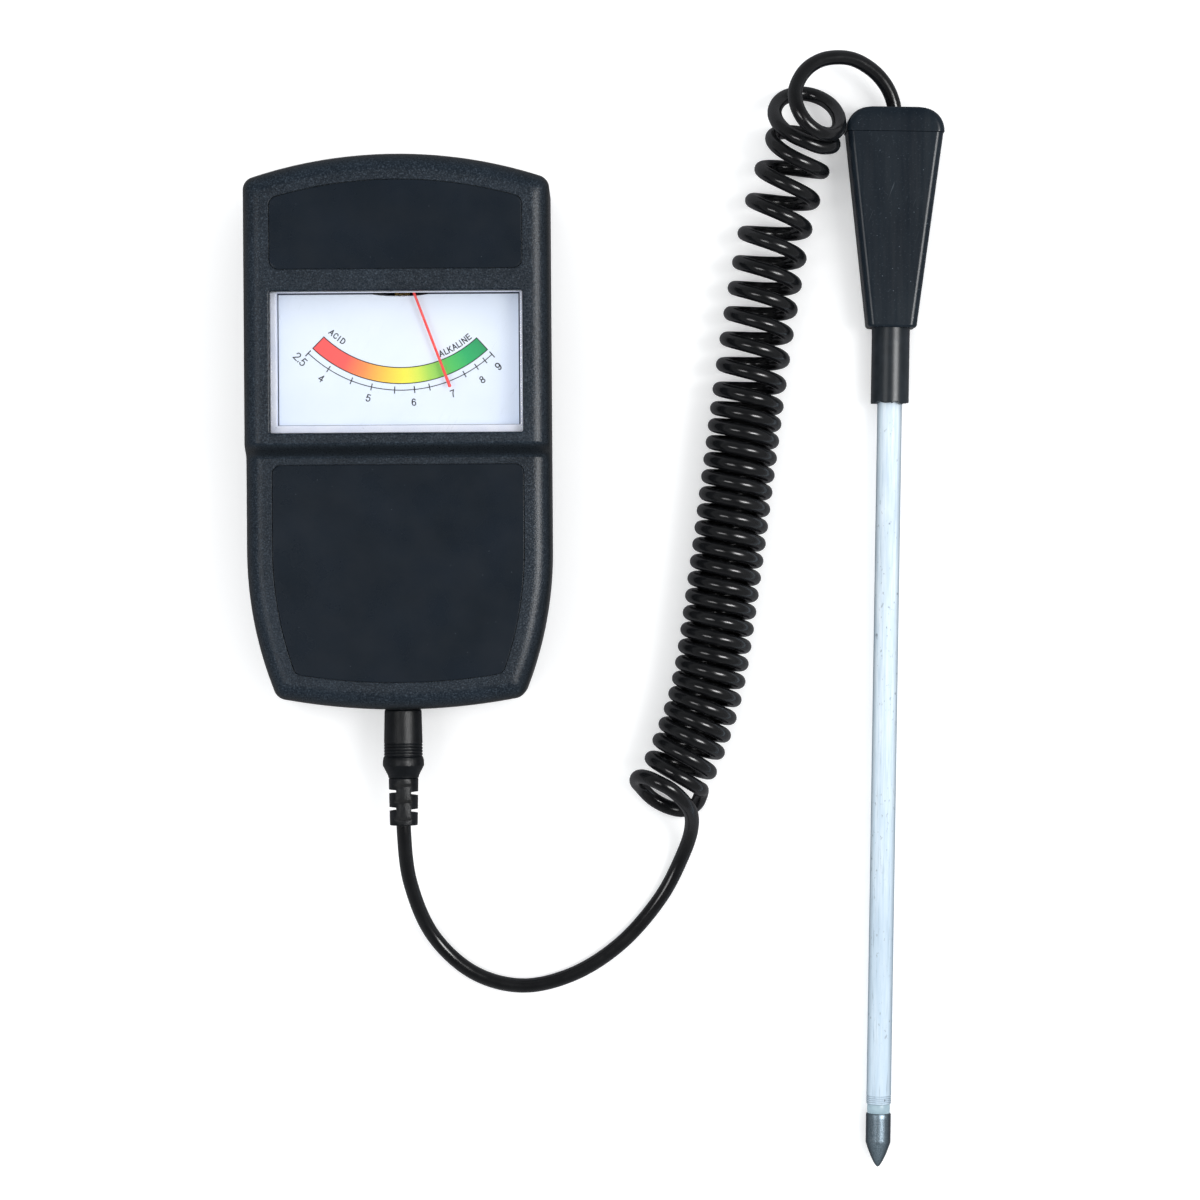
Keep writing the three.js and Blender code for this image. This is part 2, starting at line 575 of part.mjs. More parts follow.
/** Slotted boot: side slots and front slots take turns, so it bends in every direction. */
function strainRelief() {
  const { radius, startY, endY, bore, slot } = RELIEF;
  const body = turnedY([[0, endY], [radius - 0.25, endY], [radius, startY], [0, startY]]).translate(0, 0, PLUG.z);
  const cordHole = barY(bore, -BIG / 2, 0, 0, PLUG.z, 12);
  const neck = bore + 0.3;
  const sideSlots = [-98.7, -104].flatMap((y) => [
    box(-9, -neck, y - slot / 2, y + slot / 2, PLUG.z - 9, PLUG.z + 9),
    box(neck, 9, y - slot / 2, y + slot / 2, PLUG.z - 9, PLUG.z + 9),
  ]);
  const frontSlots = [-97, -101.3, -106.4].flatMap((y) => [
    box(-2.5, 2.5, y - slot / 2, y + slot / 2, PLUG.z + neck, PLUG.z + 9),
    box(-2.5, 2.5, y - slot / 2, y + slot / 2, PLUG.z - 9, PLUG.z - neck),
  ]);
  return cut(body, cordHole, ...sideSlots, ...frontSlots);
}

/** Metal barrel of the plug, from inside the body to the insulating collar behind the tip. */
function plugSleeve() {
  const tipStart = PLUG.faceY + PLUG.pinLength - 4.6;
  return barY(PLUG.pinRadius, PLUG.faceY - 3.5, tipStart, 0, PLUG.z, 16);
}

function plugCollar() {
  const start = PLUG.faceY + PLUG.pinLength - 4.6;
  return barY(PLUG.pinRadius, start + GAP, start + 0.7, 0, PLUG.z, 16);
}

/** The waisted contact at the end of the plug. */
function plugTip() {
  const start = PLUG.faceY + PLUG.pinLength - 3.85;
  const profile = [
    [0, start],
    [PLUG.pinRadius, start],
    [PLUG.pinRadius - 0.5, start + 1],
    [PLUG.pinRadius, start + 2.1],
    [0.6, start + 3.85],
    [0, start + 3.85],
  ];
  return turnedY(profile, 16).translate(0, 0, PLUG.z);
}

/** A connecting wire from a socket lug to a terminal on the movement base. */
function meterLead(side) {
  const points = [
    [side * 4.2, SOCKET.backY + 5.2, 14],
    [side * 5, -44, 8],
    [side * 9, -20, 5],
    [side * 13, 10, 4.5],
    [side * 13.5 + PIVOT.x, 24, 6],
    [side * 11 + PIVOT.x, 32.5, 9.4],
  ].map((p) => new THREE.Vector3(...p));
  return wire(new THREE.CatmullRomCurve3(points), 0.65, 18);
}

// ---------------------------------------------------------------- cord

/** Smooth step from 0 at a to 1 at b. */
function blend(a, b, v) {
  const t = THREE.MathUtils.clamp((v - a) / (b - a), 0, 1);
  return t * t * (3 - 2 * t);
}

const CORD = {
  coilRadius: 8.15, // from the coil's axis to the middle of the wire
  turns: 32,
  pointsPerTurn: 12,
  seam: 0.1, // of a step along the cord, between one named length of it and the next
  // The coil's axis: flat on the ground, with its upper end lifted.
  axis: [
    [74.9, -95.9, 10.6],
    [79.4, -85.4, 10.3],
    [84, -71, 10.2],
    [89.4, -38, 10.2],
    [93.6, -8, 10.2],
    [98.9, 29, 10.2],
    [104.4, 58.5, 10.2],
    [107.2, 68.3, 10.6],
    [109.8, 76.2, 12],
    [112.3, 82.6, 14.3],
  ],
  // From the plug along the ground, and round one loose turn into the coil.
  tail: [
    [0, -96, 14],
    [0, -104, 14],
    [0, -110, 13.6],
    [1.4, -124, 9],
    [7.6, -139.6, 3.4],
    [18.8, -150, 2.1],
    [32.1, -153.6, 2.1],
    [46, -150.6, 2.1],
    [59.5, -142.2, 2.1],
    [71, -129.2, 2.1],
    [76.8, -118.2, 3.6],
    [79.4, -110.4, 8.2],
    [79.2, -104.6, 14.2],
    [76.8, -101, 18.4],
    [73.7, -98.1, 20.4],
    [70.3, -96.2, 20.4],
    [67.2, -94.9, 18],
    [65, -94.9, 14],
    [64.4, -96.3, 9.6],
    [65.8, -98.3, 5.6],
    [68.8, -101.5, 3],
    [73, -103.9, 2.2],
    [77.4, -104.8, 3.2],
    [80.9, -103, 6.4],
  ],
  // Out of the coil, round one loose turn and over to the probe's handle.
  loop: [
    [119.3, 78.4, 17.2],
    [116.2, 78, 19.4],
    [112.4, 79.2, 20.6],
    [108.6, 81, 20],
    [105.6, 83.6, 17.8],
    [104, 86.8, 14.2],
    [104.1, 89.9, 10.4],
    [106, 92.9, 7],
    [109.4, 94.6, 4.6],
    [113.2, 94.8, 3.8],
    [116.8, 93.6, 4.6],
    [119.6, 91.4, 6.8],
    [121.3, 88.4, 10],
    [121.6, 85.4, 13.8],
    [120.8, 82.8, 17.6],
    [118.6, 81.2, 21.2],
    [115.6, 81.4, 24],
    [112.6, 83.2, 25.4],
    [110.4, 86, 25.7],
    [109.1, 89.4, 25],
    [109, 93, 23.6],
    [110.4, 96.7, 22],
    [113, 99.9, 20.2],
    [116.8, 102.2, 18.2],
    [121.1, 103.1, 16.2],
    [125.3, 102.9, 14.2],
    [129.3, 101.3, 12.2],
    [133, 98.6, 10.1],
    [135.8, 94.9, 8.4],
  ],
};

/** Distance between one turn and the next: the coil is closed below and drawn out towards the handle. */
const pitchAt = (y) => 4.75 + 1 * blend(-82, -92, y) + 2.3 * blend(5, 16, y) + 1.7 * blend(42, 56, y);

/** The middle of the wire all along the coil, from the plug end to the probe end. */
function coilPoints() {
  const axis = new THREE.CatmullRomCurve3(CORD.axis.map((p) => new THREE.Vector3(...p)));
  const samples = 400;
  const sampleLength = axis.getLength() / samples;
  const turnsBefore = [0];
  for (let i = 0; i < samples; i++) {
    const { y } = axis.getPointAt((i + 0.5) / samples);
    turnsBefore.push(turnsBefore[i] + sampleLength / pitchAt(y));
  }
  const scale = CORD.turns / turnsBefore[samples];
  const points = [];
  let i = 0;
  for (let step = 0; step <= CORD.turns * CORD.pointsPerTurn; step++) {
    const turn = step / CORD.pointsPerTurn;
    while (i < samples - 1 && turnsBefore[i + 1] * scale < turn) i++;
    const share = (turn / scale - turnsBefore[i]) / (turnsBefore[i + 1] - turnsBefore[i]);
    const t = Math.min((i + share) / samples, 1);
    const centre = axis.getPointAt(t);
    const along = axis.getTangentAt(t);
    const across = new THREE.Vector3().crossVectors(along, new THREE.Vector3(0, 0, 1)).normalize();
    const up = new THREE.Vector3().crossVectors(across, along);
    const angle = 2 * Math.PI * turn;
    points.push(
      centre
        .clone()
        .addScaledVector(across, CORD.coilRadius * Math.cos(angle))
        .addScaledVector(up, CORD.coilRadius * Math.sin(angle)),
    );
  }
  return points;
}

/** A stretch of another curve, from parameter t0 to parameter t1. */
class Stretch extends THREE.Curve {
  constructor(whole, t0, t1) {
    super();
    Object.assign(this, { whole, t0, t1 });
  }
  getPoint(t, target = new THREE.Vector3()) {
    return this.whole.getPoint(lerp(this.t0, this.t1, t), target);
  }
}

/** The cord as one smooth curve, with the parameters where the coil starts and ends. */
function cordPath() {
  const tail = CORD.tail.map((p) => new THREE.Vector3(...p));
  const coil = coilPoints();
  const loop = CORD.loop.map((p) => new THREE.Vector3(...p));
  const entry = [0.35, -4].map((y) => probePoint(0, y, 0));
  const points = [...tail, ...coil, ...loop, ...entry];
  const last = points.length - 1;
  return {
    curve: new THREE.CatmullRomCurve3(points),
    seam: CORD.seam / last,
    coilStart: tail.length / last,
    coilEnd: (tail.length + coil.length - 1) / last,
    loopEnd: (last - 1) / last,
  };
}

// ---------------------------------------------------------------- probe

/** A point of the probe's own frame, whose +Y runs out of the handle's top, in the part's frame. */
function probePoint(x, y, z) {
  return new THREE.Vector3(x, y, z)
    .applyAxisAngle(new THREE.Vector3(1, 0, 0), degrees(PROBE.dip))
    .applyAxisAngle(new THREE.Vector3(0, 0, 1), degrees(-PROBE.lean))
    .add(new THREE.Vector3(PROBE.topX, PROBE.topY, PROBE.topZ));
}

/** A rounded rectangle across the handle at a given y, as a ring for lofting. */
function handleSection(y, halfWidth, halfDepth, corner) {
  const centres = [
    [halfWidth - corner, halfDepth - corner, 0],
    [-halfWidth + corner, halfDepth - corner, 90],
    [-halfWidth + corner, -halfDepth + corner, 180],
    [halfWidth - corner, -halfDepth + corner, 270],
  ];
  const points = centres.flatMap(([x, z, from]) => arc(x, z, corner, degrees(from), degrees(from + 90), 3));
  // Anticlockwise in XZ is clockwise seen from +Y, and the loft runs towards -Y.
  return points.map((p) => new THREE.Vector3(p.x, y, p.y));
}

const handleDepthAt = (y) => lerp(HANDLE.topHalfDepth, HANDLE.bottomHalfDepth, -y / HANDLE.length);

function handleBody() {
  const top = -HANDLE.capHeight - GAP;
  const bottom = -HANDLE.length;
  const outer = loft([
    handleSection(bottom, HANDLE.bottomHalfWidth - 0.7, HANDLE.bottomHalfDepth - 0.7, 1.6),
    handleSection(bottom + 0.9, HANDLE.bottomHalfWidth + 0.1, handleDepthAt(bottom + 0.9), 2),
    handleSection(top, HANDLE.topHalfWidth, handleDepthAt(top), 2),
  ].reverse());
  const w = HANDLE.wall;
  const inner = loft([
    handleSection(bottom + 14, HANDLE.bottomHalfWidth - w + 1, HANDLE.bottomHalfDepth - w, 1),
    handleSection(top + 1, HANDLE.topHalfWidth - w, handleDepthAt(top) - w, 1),
  ].reverse());
  const collarBore = barY(COLLAR.radius + 0.15, bottom - 1, bottom + 8, 0, 0, 24);
  const tubeBore = barY(TUBE.radius + 0.2, bottom, bottom + 16, 0, 0, 24);
  return cut(outer, inner, collarBore, tubeBore);
}

/** End cap: the rounded top of the handle, with a plug that fits inside the body and a hole for the cord. */
function handleCap() {
  const levels = [0, 1, 2, 3, 4].map((i) => degrees(90 * (i / 4)));
  const corner = HANDLE.capCorner;
  const sections = levels.map((a) =>
    handleSection(
      -corner * (1 - Math.sin(a)),
      HANDLE.capHalfWidth - corner * (1 - Math.cos(a)),
      handleDepthAt(0) - 1.2 * (1 - Math.cos(a)) ** 2,
      1.7,
    ),
  );
  const skirt = handleSection(-HANDLE.capHeight, HANDLE.capHalfWidth, handleDepthAt(0), 1.7);
  const outer = loft([skirt, ...sections].reverse());
  const w = HANDLE.wall + 0.9;
  const spigot = box(
    -HANDLE.topHalfWidth + w,
    HANDLE.topHalfWidth - w,
    -HANDLE.capHeight - 4,
    -HANDLE.capHeight + 1,
    -HANDLE.topHalfDepth + w,
    HANDLE.topHalfDepth - w,
  );
  const hollow = box(-9, 9, -HANDLE.capHeight - 5, -2.4, -3.8, 3.8);
  return cut(join(outer, spigot), hollow, barY(CORD_RADIUS + 0.35, -5, 3, 0, 0, 16));
}

function collarSleeve() {
  const top = -HANDLE.length + 7.5;
  const bottom = -HANDLE.length - COLLAR.length;
  return cut(barY(COLLAR.radius, bottom, top, 0, 0, 24), barY(TUBE.radius + 0.12, bottom - 1, top + 1, 0, 0, 24));
}

function probeTube() {
  const top = -HANDLE.length + 13;
  return cut(barY(TUBE.radius, TUBE.endY, top, 0, 0, 24), barY(TUBE.bore, TUBE.endY - 1, top + 1, 0, 0, 16));
}

/** Insulator between the two metals: a visible ring with a spigot up the tube and a bore for the conductor. */
function insulatorRing() {
  const bottom = TUBE.endY - RING.length + GAP;
  const band = barY(RING.radius, bottom, TUBE.endY - GAP, 0, 0, 24);
  const spigot = barY(TUBE.bore - 0.1, TUBE.endY - 1, TUBE.endY + 8, 0, 0, 16);
  return cut(join(band, spigot), barY(1.1, bottom - 1, TUBE.endY + 9, 0, 0, 10));
}

/** Pointed tip electrode, drilled for the conductor. */
function tipElectrode() {
  const top = TUBE.endY - RING.length;
  const end = top - TIP.length;
  const cone = [0.12, 0.34, 0.6, 0.82, 0.95].map((t) => [
    TIP.radius * Math.sqrt(1 - (1 - t) ** 2) * 0.35 + TIP.radius * t * 0.65,
    end + (TIP.length - TIP.cylinder) * t,
  ]);
  const profile = [[0, end], [0.35, end + 0.05], ...cone, [TIP.radius, top - TIP.cylinder], [TIP.radius, top], [0, top]];
  return cut(turnedY(profile), barY(1.1, top - 5, top + 1, 0, 0, 10));
}

/** Stiff insulated wire from the tip electrode up the tube into the handle. */
function tipConductor() {
  return barY(0.9, TUBE.endY - RING.length - 4, -HANDLE.length + 24, 0, 0, 8);
}

/** Spring clip on the top of the tube that carries the tube's side of the circuit. */
function tubeClip() {
  const y0 = -HANDLE.length + 16.4;
  const band = cut(barY(TUBE.radius - 0.2, y0 - 3, y0 + 1.5, 0, 0, 16), barY(2.3, y0 - 4, y0 + 2, 0, 0, 16));
  return band;
}

/** The end of the cord inside the handle, with a moulded bead that stops it being pulled out. */
function cordEnd() {
  return join(barY(CORD_RADIUS, -14, -0.1, 0, 0, 8), barY(3.3, -10.5, -6, 0, 0, 12));
}

// ---------------------------------------------------------------- assembly

const part = new THREE.Group();

/** Adds a named piece to a group. */
function add(group, name, geometry, material) {
  const mesh = new THREE.Mesh(geometry, material);
  mesh.name = name;
  group.add(mesh);
}

// Case and dial
add(part, "front_case", frontCase(), CASE_PLASTIC);
add(part, "rear_case", rearCase(), CASE_PLASTIC);
SCREW_POSTS.forEach(([x, y], i) => add(part, `case_screw_${i + 1}`, caseScrew(x, y), STEEL));
const labelTop = (faceZ) => faceZ - LABEL.pocket + GAP;
const upperLabelZ = labelTop(CASE.upperTop);
const lowerLabelZ = labelTop(CASE.lowerTop);
add(part, "upper_label", prism(upperLabelOutline(0), upperLabelZ, upperLabelZ + LABEL.thickness), LABEL_FILM);
add(part, "lower_label", prism(lowerLabelOutline(0), lowerLabelZ, lowerLabelZ + LABEL.thickness), LABEL_FILM);
add(part, "window_lens", windowLens(), CLEAR_PLASTIC);
add(part, "dial_surround", dialSurround(), WHITE_PLASTIC);
add(part, "dial_plate", dialPlate(), DIAL_WHITE);
add(part, "dial_screw_left", smallScrew(PIVOT.x - 21, 53, DIAL.topZ + GAP, 22), BRASS);
add(part, "dial_screw_right", smallScrew(PIVOT.x + 21, 53, DIAL.topZ + GAP, 22), BRASS);

// The fixed part of the movement
add(part, "movement_base", movementBase(), BLACK_PLASTIC);
add(part, "movement_screw_left", smallScrew(PIVOT.x - 16.5, 36, BASE.topZ + GAP, 2.8), STEEL);
add(part, "movement_screw_right", smallScrew(PIVOT.x + 16.5, 36, BASE.topZ + GAP, 2.8), STEEL);
add(part, "yoke_ring", yokeRing(), MAGNET);
add(part, "core_magnet", barZ(CORE.radius, CORE.bottomZ, CORE.topZ, PIVOT.x, PIVOT.y, 24), MAGNET);
add(part, "core_bracket", coreBracket(), BRASS);
add(part, "bearing_bridge", bearingBridge(), BLACK_PLASTIC);
add(part, "upper_jewel_screw", jewelScrew(31.05, 33.2, false), BRASS);
add(part, "lower_jewel_screw", jewelScrew(BASE.bottomZ + 0.3, 7.9, true), BRASS);

// The moving part, built with the pointer straight down and then turned to its reading
const rotor = new THREE.Group();
rotor.position.set(PIVOT.x, PIVOT.y, 0);
rotor.rotation.z = degrees(PIVOT.restAngle);
part.add(rotor);
const formerHalf = COIL.halfWidth - COIL.winding - GAP;
const formerZ = [COIL.bottomZ + COIL.winding + GAP, COIL.topZ - COIL.winding - GAP];
add(rotor, "pointer", pointerNeedle(), POINTER_RED);
add(rotor, "balance_cross", balanceCross(), BRASS);
add(rotor, "coil_winding", coilLoop(COIL.halfWidth, COIL.bottomZ, COIL.topZ, COIL.winding, COIL.depth), COPPER);
add(rotor, "coil_former", coilLoop(formerHalf, ...formerZ, COIL.former, COIL.depth + 0.8), ALUMINIUM);
add(rotor, "upper_pivot", turnedZ([[0, 24.9], [0.5, 24.9], [0.5, 31.2], [0, 31.85]], 8), STEEL);
add(rotor, "lower_pivot", turnedZ([[0, 7.15], [0.5, 7.8], [0.5, 9.5], [0, 9.5]], 8), STEEL);
add(rotor, "upper_hairspring", hairspring(26, degrees(90 - PIVOT.restAngle)), BRASS);
add(rotor, "lower_hairspring", hairspring(8.6, degrees(-90 - PIVOT.restAngle)), BRASS);

const adjuster = new THREE.Group();
adjuster.position.set(PIVOT.x, PIVOT.y, 0);
part.add(adjuster);
add(adjuster, "zero_adjuster", zeroAdjuster(), BRASS);

// Socket and wiring
add(part, "socket_body", socketBody(), BLACK_PLASTIC);
add(part, "socket_tip_contact", tipContact(), BRASS);
add(part, "socket_sleeve_lug", sleeveLug(), BRASS);
add(part, "meter_lead_red", meterLead(1), RED_WIRE);
add(part, "meter_lead_green", meterLead(-1), GREEN_WIRE);

// Plug and cord
add(part, "plug_body", plugBody(), BLACK_PLASTIC);
add(part, "strain_relief", strainRelief(), BLACK_PLASTIC);
add(part, "plug_sleeve", plugSleeve(), STEEL);
add(part, "plug_insulator", plugCollar(), BLACK_PLASTIC);
add(part, "plug_tip", plugTip(), STEEL);

const cord = cordPath();
const coilSteps = Math.round(CORD.turns * CORD.pointsPerTurn);
const tailCurve = new Stretch(cord.curve, 0, cord.coilStart);
const coilCurve = new Stretch(cord.curve, cord.coilStart + cord.seam, cord.coilEnd - cord.seam);
const loopCurve = new Stretch(cord.curve, cord.coilEnd, cord.loopEnd);
add(part, "cord_tail", wire(tailCurve, CORD_RADIUS, 54, 8), CORD_PVC);
add(part, "coil_cord", wire(coilCurve, CORD_RADIUS, coilSteps, 6), CORD_PVC);
add(part, "cord_loop", wire(loopCurve, CORD_RADIUS, 34, 8), CORD_PVC);

// Probe, built along -Y from the top of its handle
const probe = new THREE.Group();
probe.position.set(PROBE.topX, PROBE.topY, PROBE.topZ);
probe.rotation.z = degrees(-PROBE.lean);
part.add(probe);
const dipped = new THREE.Group();
dipped.rotation.x = degrees(PROBE.dip);
probe.add(dipped);
add(dipped, "handle_body", handleBody(), HANDLE_PLASTIC);
add(dipped, "handle_cap", handleCap(), HANDLE_PLASTIC);
add(dipped, "collar_sleeve", collarSleeve(), BLACK_PLASTIC);
add(dipped, "probe_tube", probeTube(), COATED_TUBE);
add(dipped, "insulator_ring", insulatorRing(), RING_PLASTIC);
add(dipped, "tip_electrode", tipElectrode(), TIP_METAL);
add(dipped, "tip_conductor", tipConductor(), COPPER);
add(dipped, "tube_clip", tubeClip(), BRASS);
add(dipped, "cord_end", cordEnd(), CORD_PVC);

export default part;
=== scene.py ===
"""Looks of an analogue soil pH meter with its coiled cord and probe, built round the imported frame.

Lengths are in millimetres until a piece is placed, which scales it to metres. The frame's axes are used
throughout: +Z out of the dial, +Y towards the dial end of the case, +X towards the cord and the probe.
"""
import json
import math

import bmesh
import bpy
import numpy as np
from mathutils import Matrix, Vector, geometry, noise


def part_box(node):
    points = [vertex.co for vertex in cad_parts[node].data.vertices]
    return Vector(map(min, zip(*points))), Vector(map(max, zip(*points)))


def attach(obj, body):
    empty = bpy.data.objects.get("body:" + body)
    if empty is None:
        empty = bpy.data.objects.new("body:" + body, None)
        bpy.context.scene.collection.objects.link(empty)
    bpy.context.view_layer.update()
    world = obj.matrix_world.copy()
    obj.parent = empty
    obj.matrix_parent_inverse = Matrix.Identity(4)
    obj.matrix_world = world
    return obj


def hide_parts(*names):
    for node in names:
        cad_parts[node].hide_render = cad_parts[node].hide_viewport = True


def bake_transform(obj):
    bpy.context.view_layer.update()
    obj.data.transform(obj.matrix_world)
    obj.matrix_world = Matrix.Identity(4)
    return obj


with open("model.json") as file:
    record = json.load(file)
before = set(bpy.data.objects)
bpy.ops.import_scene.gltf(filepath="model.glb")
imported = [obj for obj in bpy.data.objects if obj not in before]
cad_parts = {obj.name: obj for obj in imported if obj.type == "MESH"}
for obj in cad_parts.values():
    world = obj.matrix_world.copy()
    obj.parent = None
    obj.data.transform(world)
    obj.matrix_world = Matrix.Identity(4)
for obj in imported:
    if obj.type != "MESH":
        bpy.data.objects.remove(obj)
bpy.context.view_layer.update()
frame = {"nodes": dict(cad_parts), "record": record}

MM = 0.001
RECORD = frame["record"]
BODY_OF = {node: body for body, nodes in RECORD["behaviour"]["bodies"].items() for node in nodes}
SLOT_OF = {part["node"]: part["material_slot"] for part in RECORD["subparts"]}


def box_mm(node):
    """Lowest and highest corners of a CAD node, in millimetres."""
    low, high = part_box(node)
    return low / MM, high / MM


# ---------------- dimensions

front_low, front_high = box_mm("front_case")
lens_low, lens_high = box_mm("window_lens")
surround_low, surround_high = box_mm("dial_surround")
dial_low, dial_high = box_mm("dial_plate")

HALF_WIDTH, HALF_LENGTH = front_high.x, front_high.y
SPLIT_Z, UPPER_TOP, LOWER_TOP = front_low.z, front_high.z, 31.0
TOP_RADIUS, TOP_CORNER = 126.7, 3.6
TAPER_START, TAPER_RADIUS = -32.0, 105.0
BOTTOM_RADIUS, BOTTOM_CORNER = 174.5, 3.8
SMALLEST_CORNER = 2.4
STEP_TOP_Y, STEP_FOOT_Y = -2.9, -7.2
FRONT_FILLET, BACK_FILLET = 5.0, 3.0
WALL, SEAM_CHAMFER, SEAM_GAP = 2.4, 0.22, 0.05
SIDE_ROWS = [60, 50, 40, 30, 20, 10, 3, -0.5, -1.7, *np.linspace(STEP_TOP_Y, STEP_FOOT_Y, 17), -9, -16, -24]
SOCKET_HOLE_RADIUS, SOCKET_HOLE_DEPTH = 3.2, 8
SCREW_POSTS = [(-35, 61.5), (35, 61.5), (-30, -61.5), (30, -61.5)]

LABEL_BORDER, LABEL_CORNER, LABEL_EDGE = 7.5, 2.4, 0.14
LABELS = {"upper_label": (44.0, True, UPPER_TOP), "lower_label": (-8.9, False, LOWER_TOP)}
POCKET_STEPS = [(0.3, 0), (0.2, 0.03), (0.15, 0.12), (0.15, 0.5)]
WINDOW, WINDOW_LIP, WINDOW_CORNER = (-34.1, 34.1, -0.3, 37.9), 0.7, 0.5
DIAL_OPENING = (-32.65, 33.4, 1.8)

PIVOT = Vector((0.8, 48.0, 0.0))
POINTER_ANGLE, POINTER_LENGTH = 20.6, 38.3
NOTCH_RADIUS, NOTCH_HALF_WIDTH, NOTCH_BOTTOM_Y = 50.0, 9.5, 37.05
ARTWORK = (1.0, 48.0)
SCALE_START, SCALE_END, SCALE_LINE = -44.0, 42.5, 36.5
BAND_INNER, BAND_OUTER = 30.35, 34.7
TICKS = [-33, -22, -13, -3, 5.5, 12, 20, 28, 34, 38.5]
INK_LOW = dial_high.z + 0.005
INK_HIGH = INK_LOW + 0.03

PLUG_LINE = (0, 14.0)
PLUG_FACE_Y = box_mm("plug_body")[1].y
RELIEF_TOP_Y, RELIEF_END_Y = -94.8, -107.8
PIN_RADIUS, PIN_LENGTH, PIN_TIP_LENGTH = 1.75, 14, 4.6
BEYOND_CORD_Y = -120
CORD_RADIUS, CORD_SIDES, CORD_SPACING = 2.0, 18, 0.75

PROBE_TOP = Vector((137.39, 89.9, 7.25))
PROBE_LEAN, PROBE_DIP = math.radians(1.247), math.radians(0.74)
HANDLE_LENGTH, HANDLE_CORNER, HANDLE_WALL = 60.9, 2.1, 1.9
CAP_HEIGHT, CAP_CORNER, CAP_HALF_WIDTH = 6.8, 6.4, 13.6
TOP_HALF_WIDTH, BOTTOM_HALF_WIDTH = 13.3, 6.75
TOP_HALF_DEPTH, BOTTOM_HALF_DEPTH = 7.2, 6.42
COLLAR_RADIUS, COLLAR_LENGTH = 5.28, 20.7
TUBE_RADIUS, TUBE_BORE, TUBE_END_Y = 3.42, 2.6, -277.0
END_RING_PITCH, END_RINGS = 0.55, (1, 2, 3, 4)
RING_RADIUS, RING_LENGTH = 3.12, 2.7
TIP_RADIUS, TIP_CYLINDER, TIP_LENGTH = 3.46, 8.0, 15.0
# From the probe's own axes, with +Y out of the top of the handle, to the frame's.
TO_FRAME = (Matrix.Translation(PROBE_TOP) @ Matrix.Rotation(-PROBE_LEAN, 4, "Z")
            @ Matrix.Rotation(PROBE_DIP, 4, "X"))

# ---------------- materials


def srgb(red, green, blue):
    """A linear colour from display values of 0 to 255."""
    channels = [c / 255 for c in (red, green, blue)]
    return (*[c / 12.92 if c <= 0.04045 else ((c + 0.055) / 1.055) ** 2.4 for c in channels], 1.0)


class Nodes:
    """A node tree, and short ways to add to it."""

    def __init__(self, tree):
        self.tree = tree

    def feed(self, socket, value):
        if isinstance(value, bpy.types.NodeSocket):
            self.tree.links.new(value, socket)
        else:
            socket.default_value = value

    def node(self, kind, inputs, **settings):
        node = self.tree.nodes.new("ShaderNode" + kind)
        for key, value in settings.items():
            setattr(node, key, value)
        for key, value in inputs.items():
            self.feed(node.inputs[key], value)
        return node

    def read(self, kind, output):
        """An output of a node that has nothing to set."""
        return self.node(kind, {}).outputs[output]

    def between(self, value, low, high, to_low=0.0, to_high=1.0):
        """Value mapped from low..high to 0..1, or to another range, and held at its ends."""
        inputs = {"Value": value, "From Min": low, "From Max": high, "To Min": to_low, "To Max": to_high}
        return self.node("MapRange", inputs).outputs["Result"]

    def math(self, operation, a, b=0.0):
        return self.node("Math", {0: a, 1: b}, operation=operation).outputs[0]

    def part(self, vector, axis):
        return self.node("SeparateXYZ", {"Vector": vector}).outputs[axis]


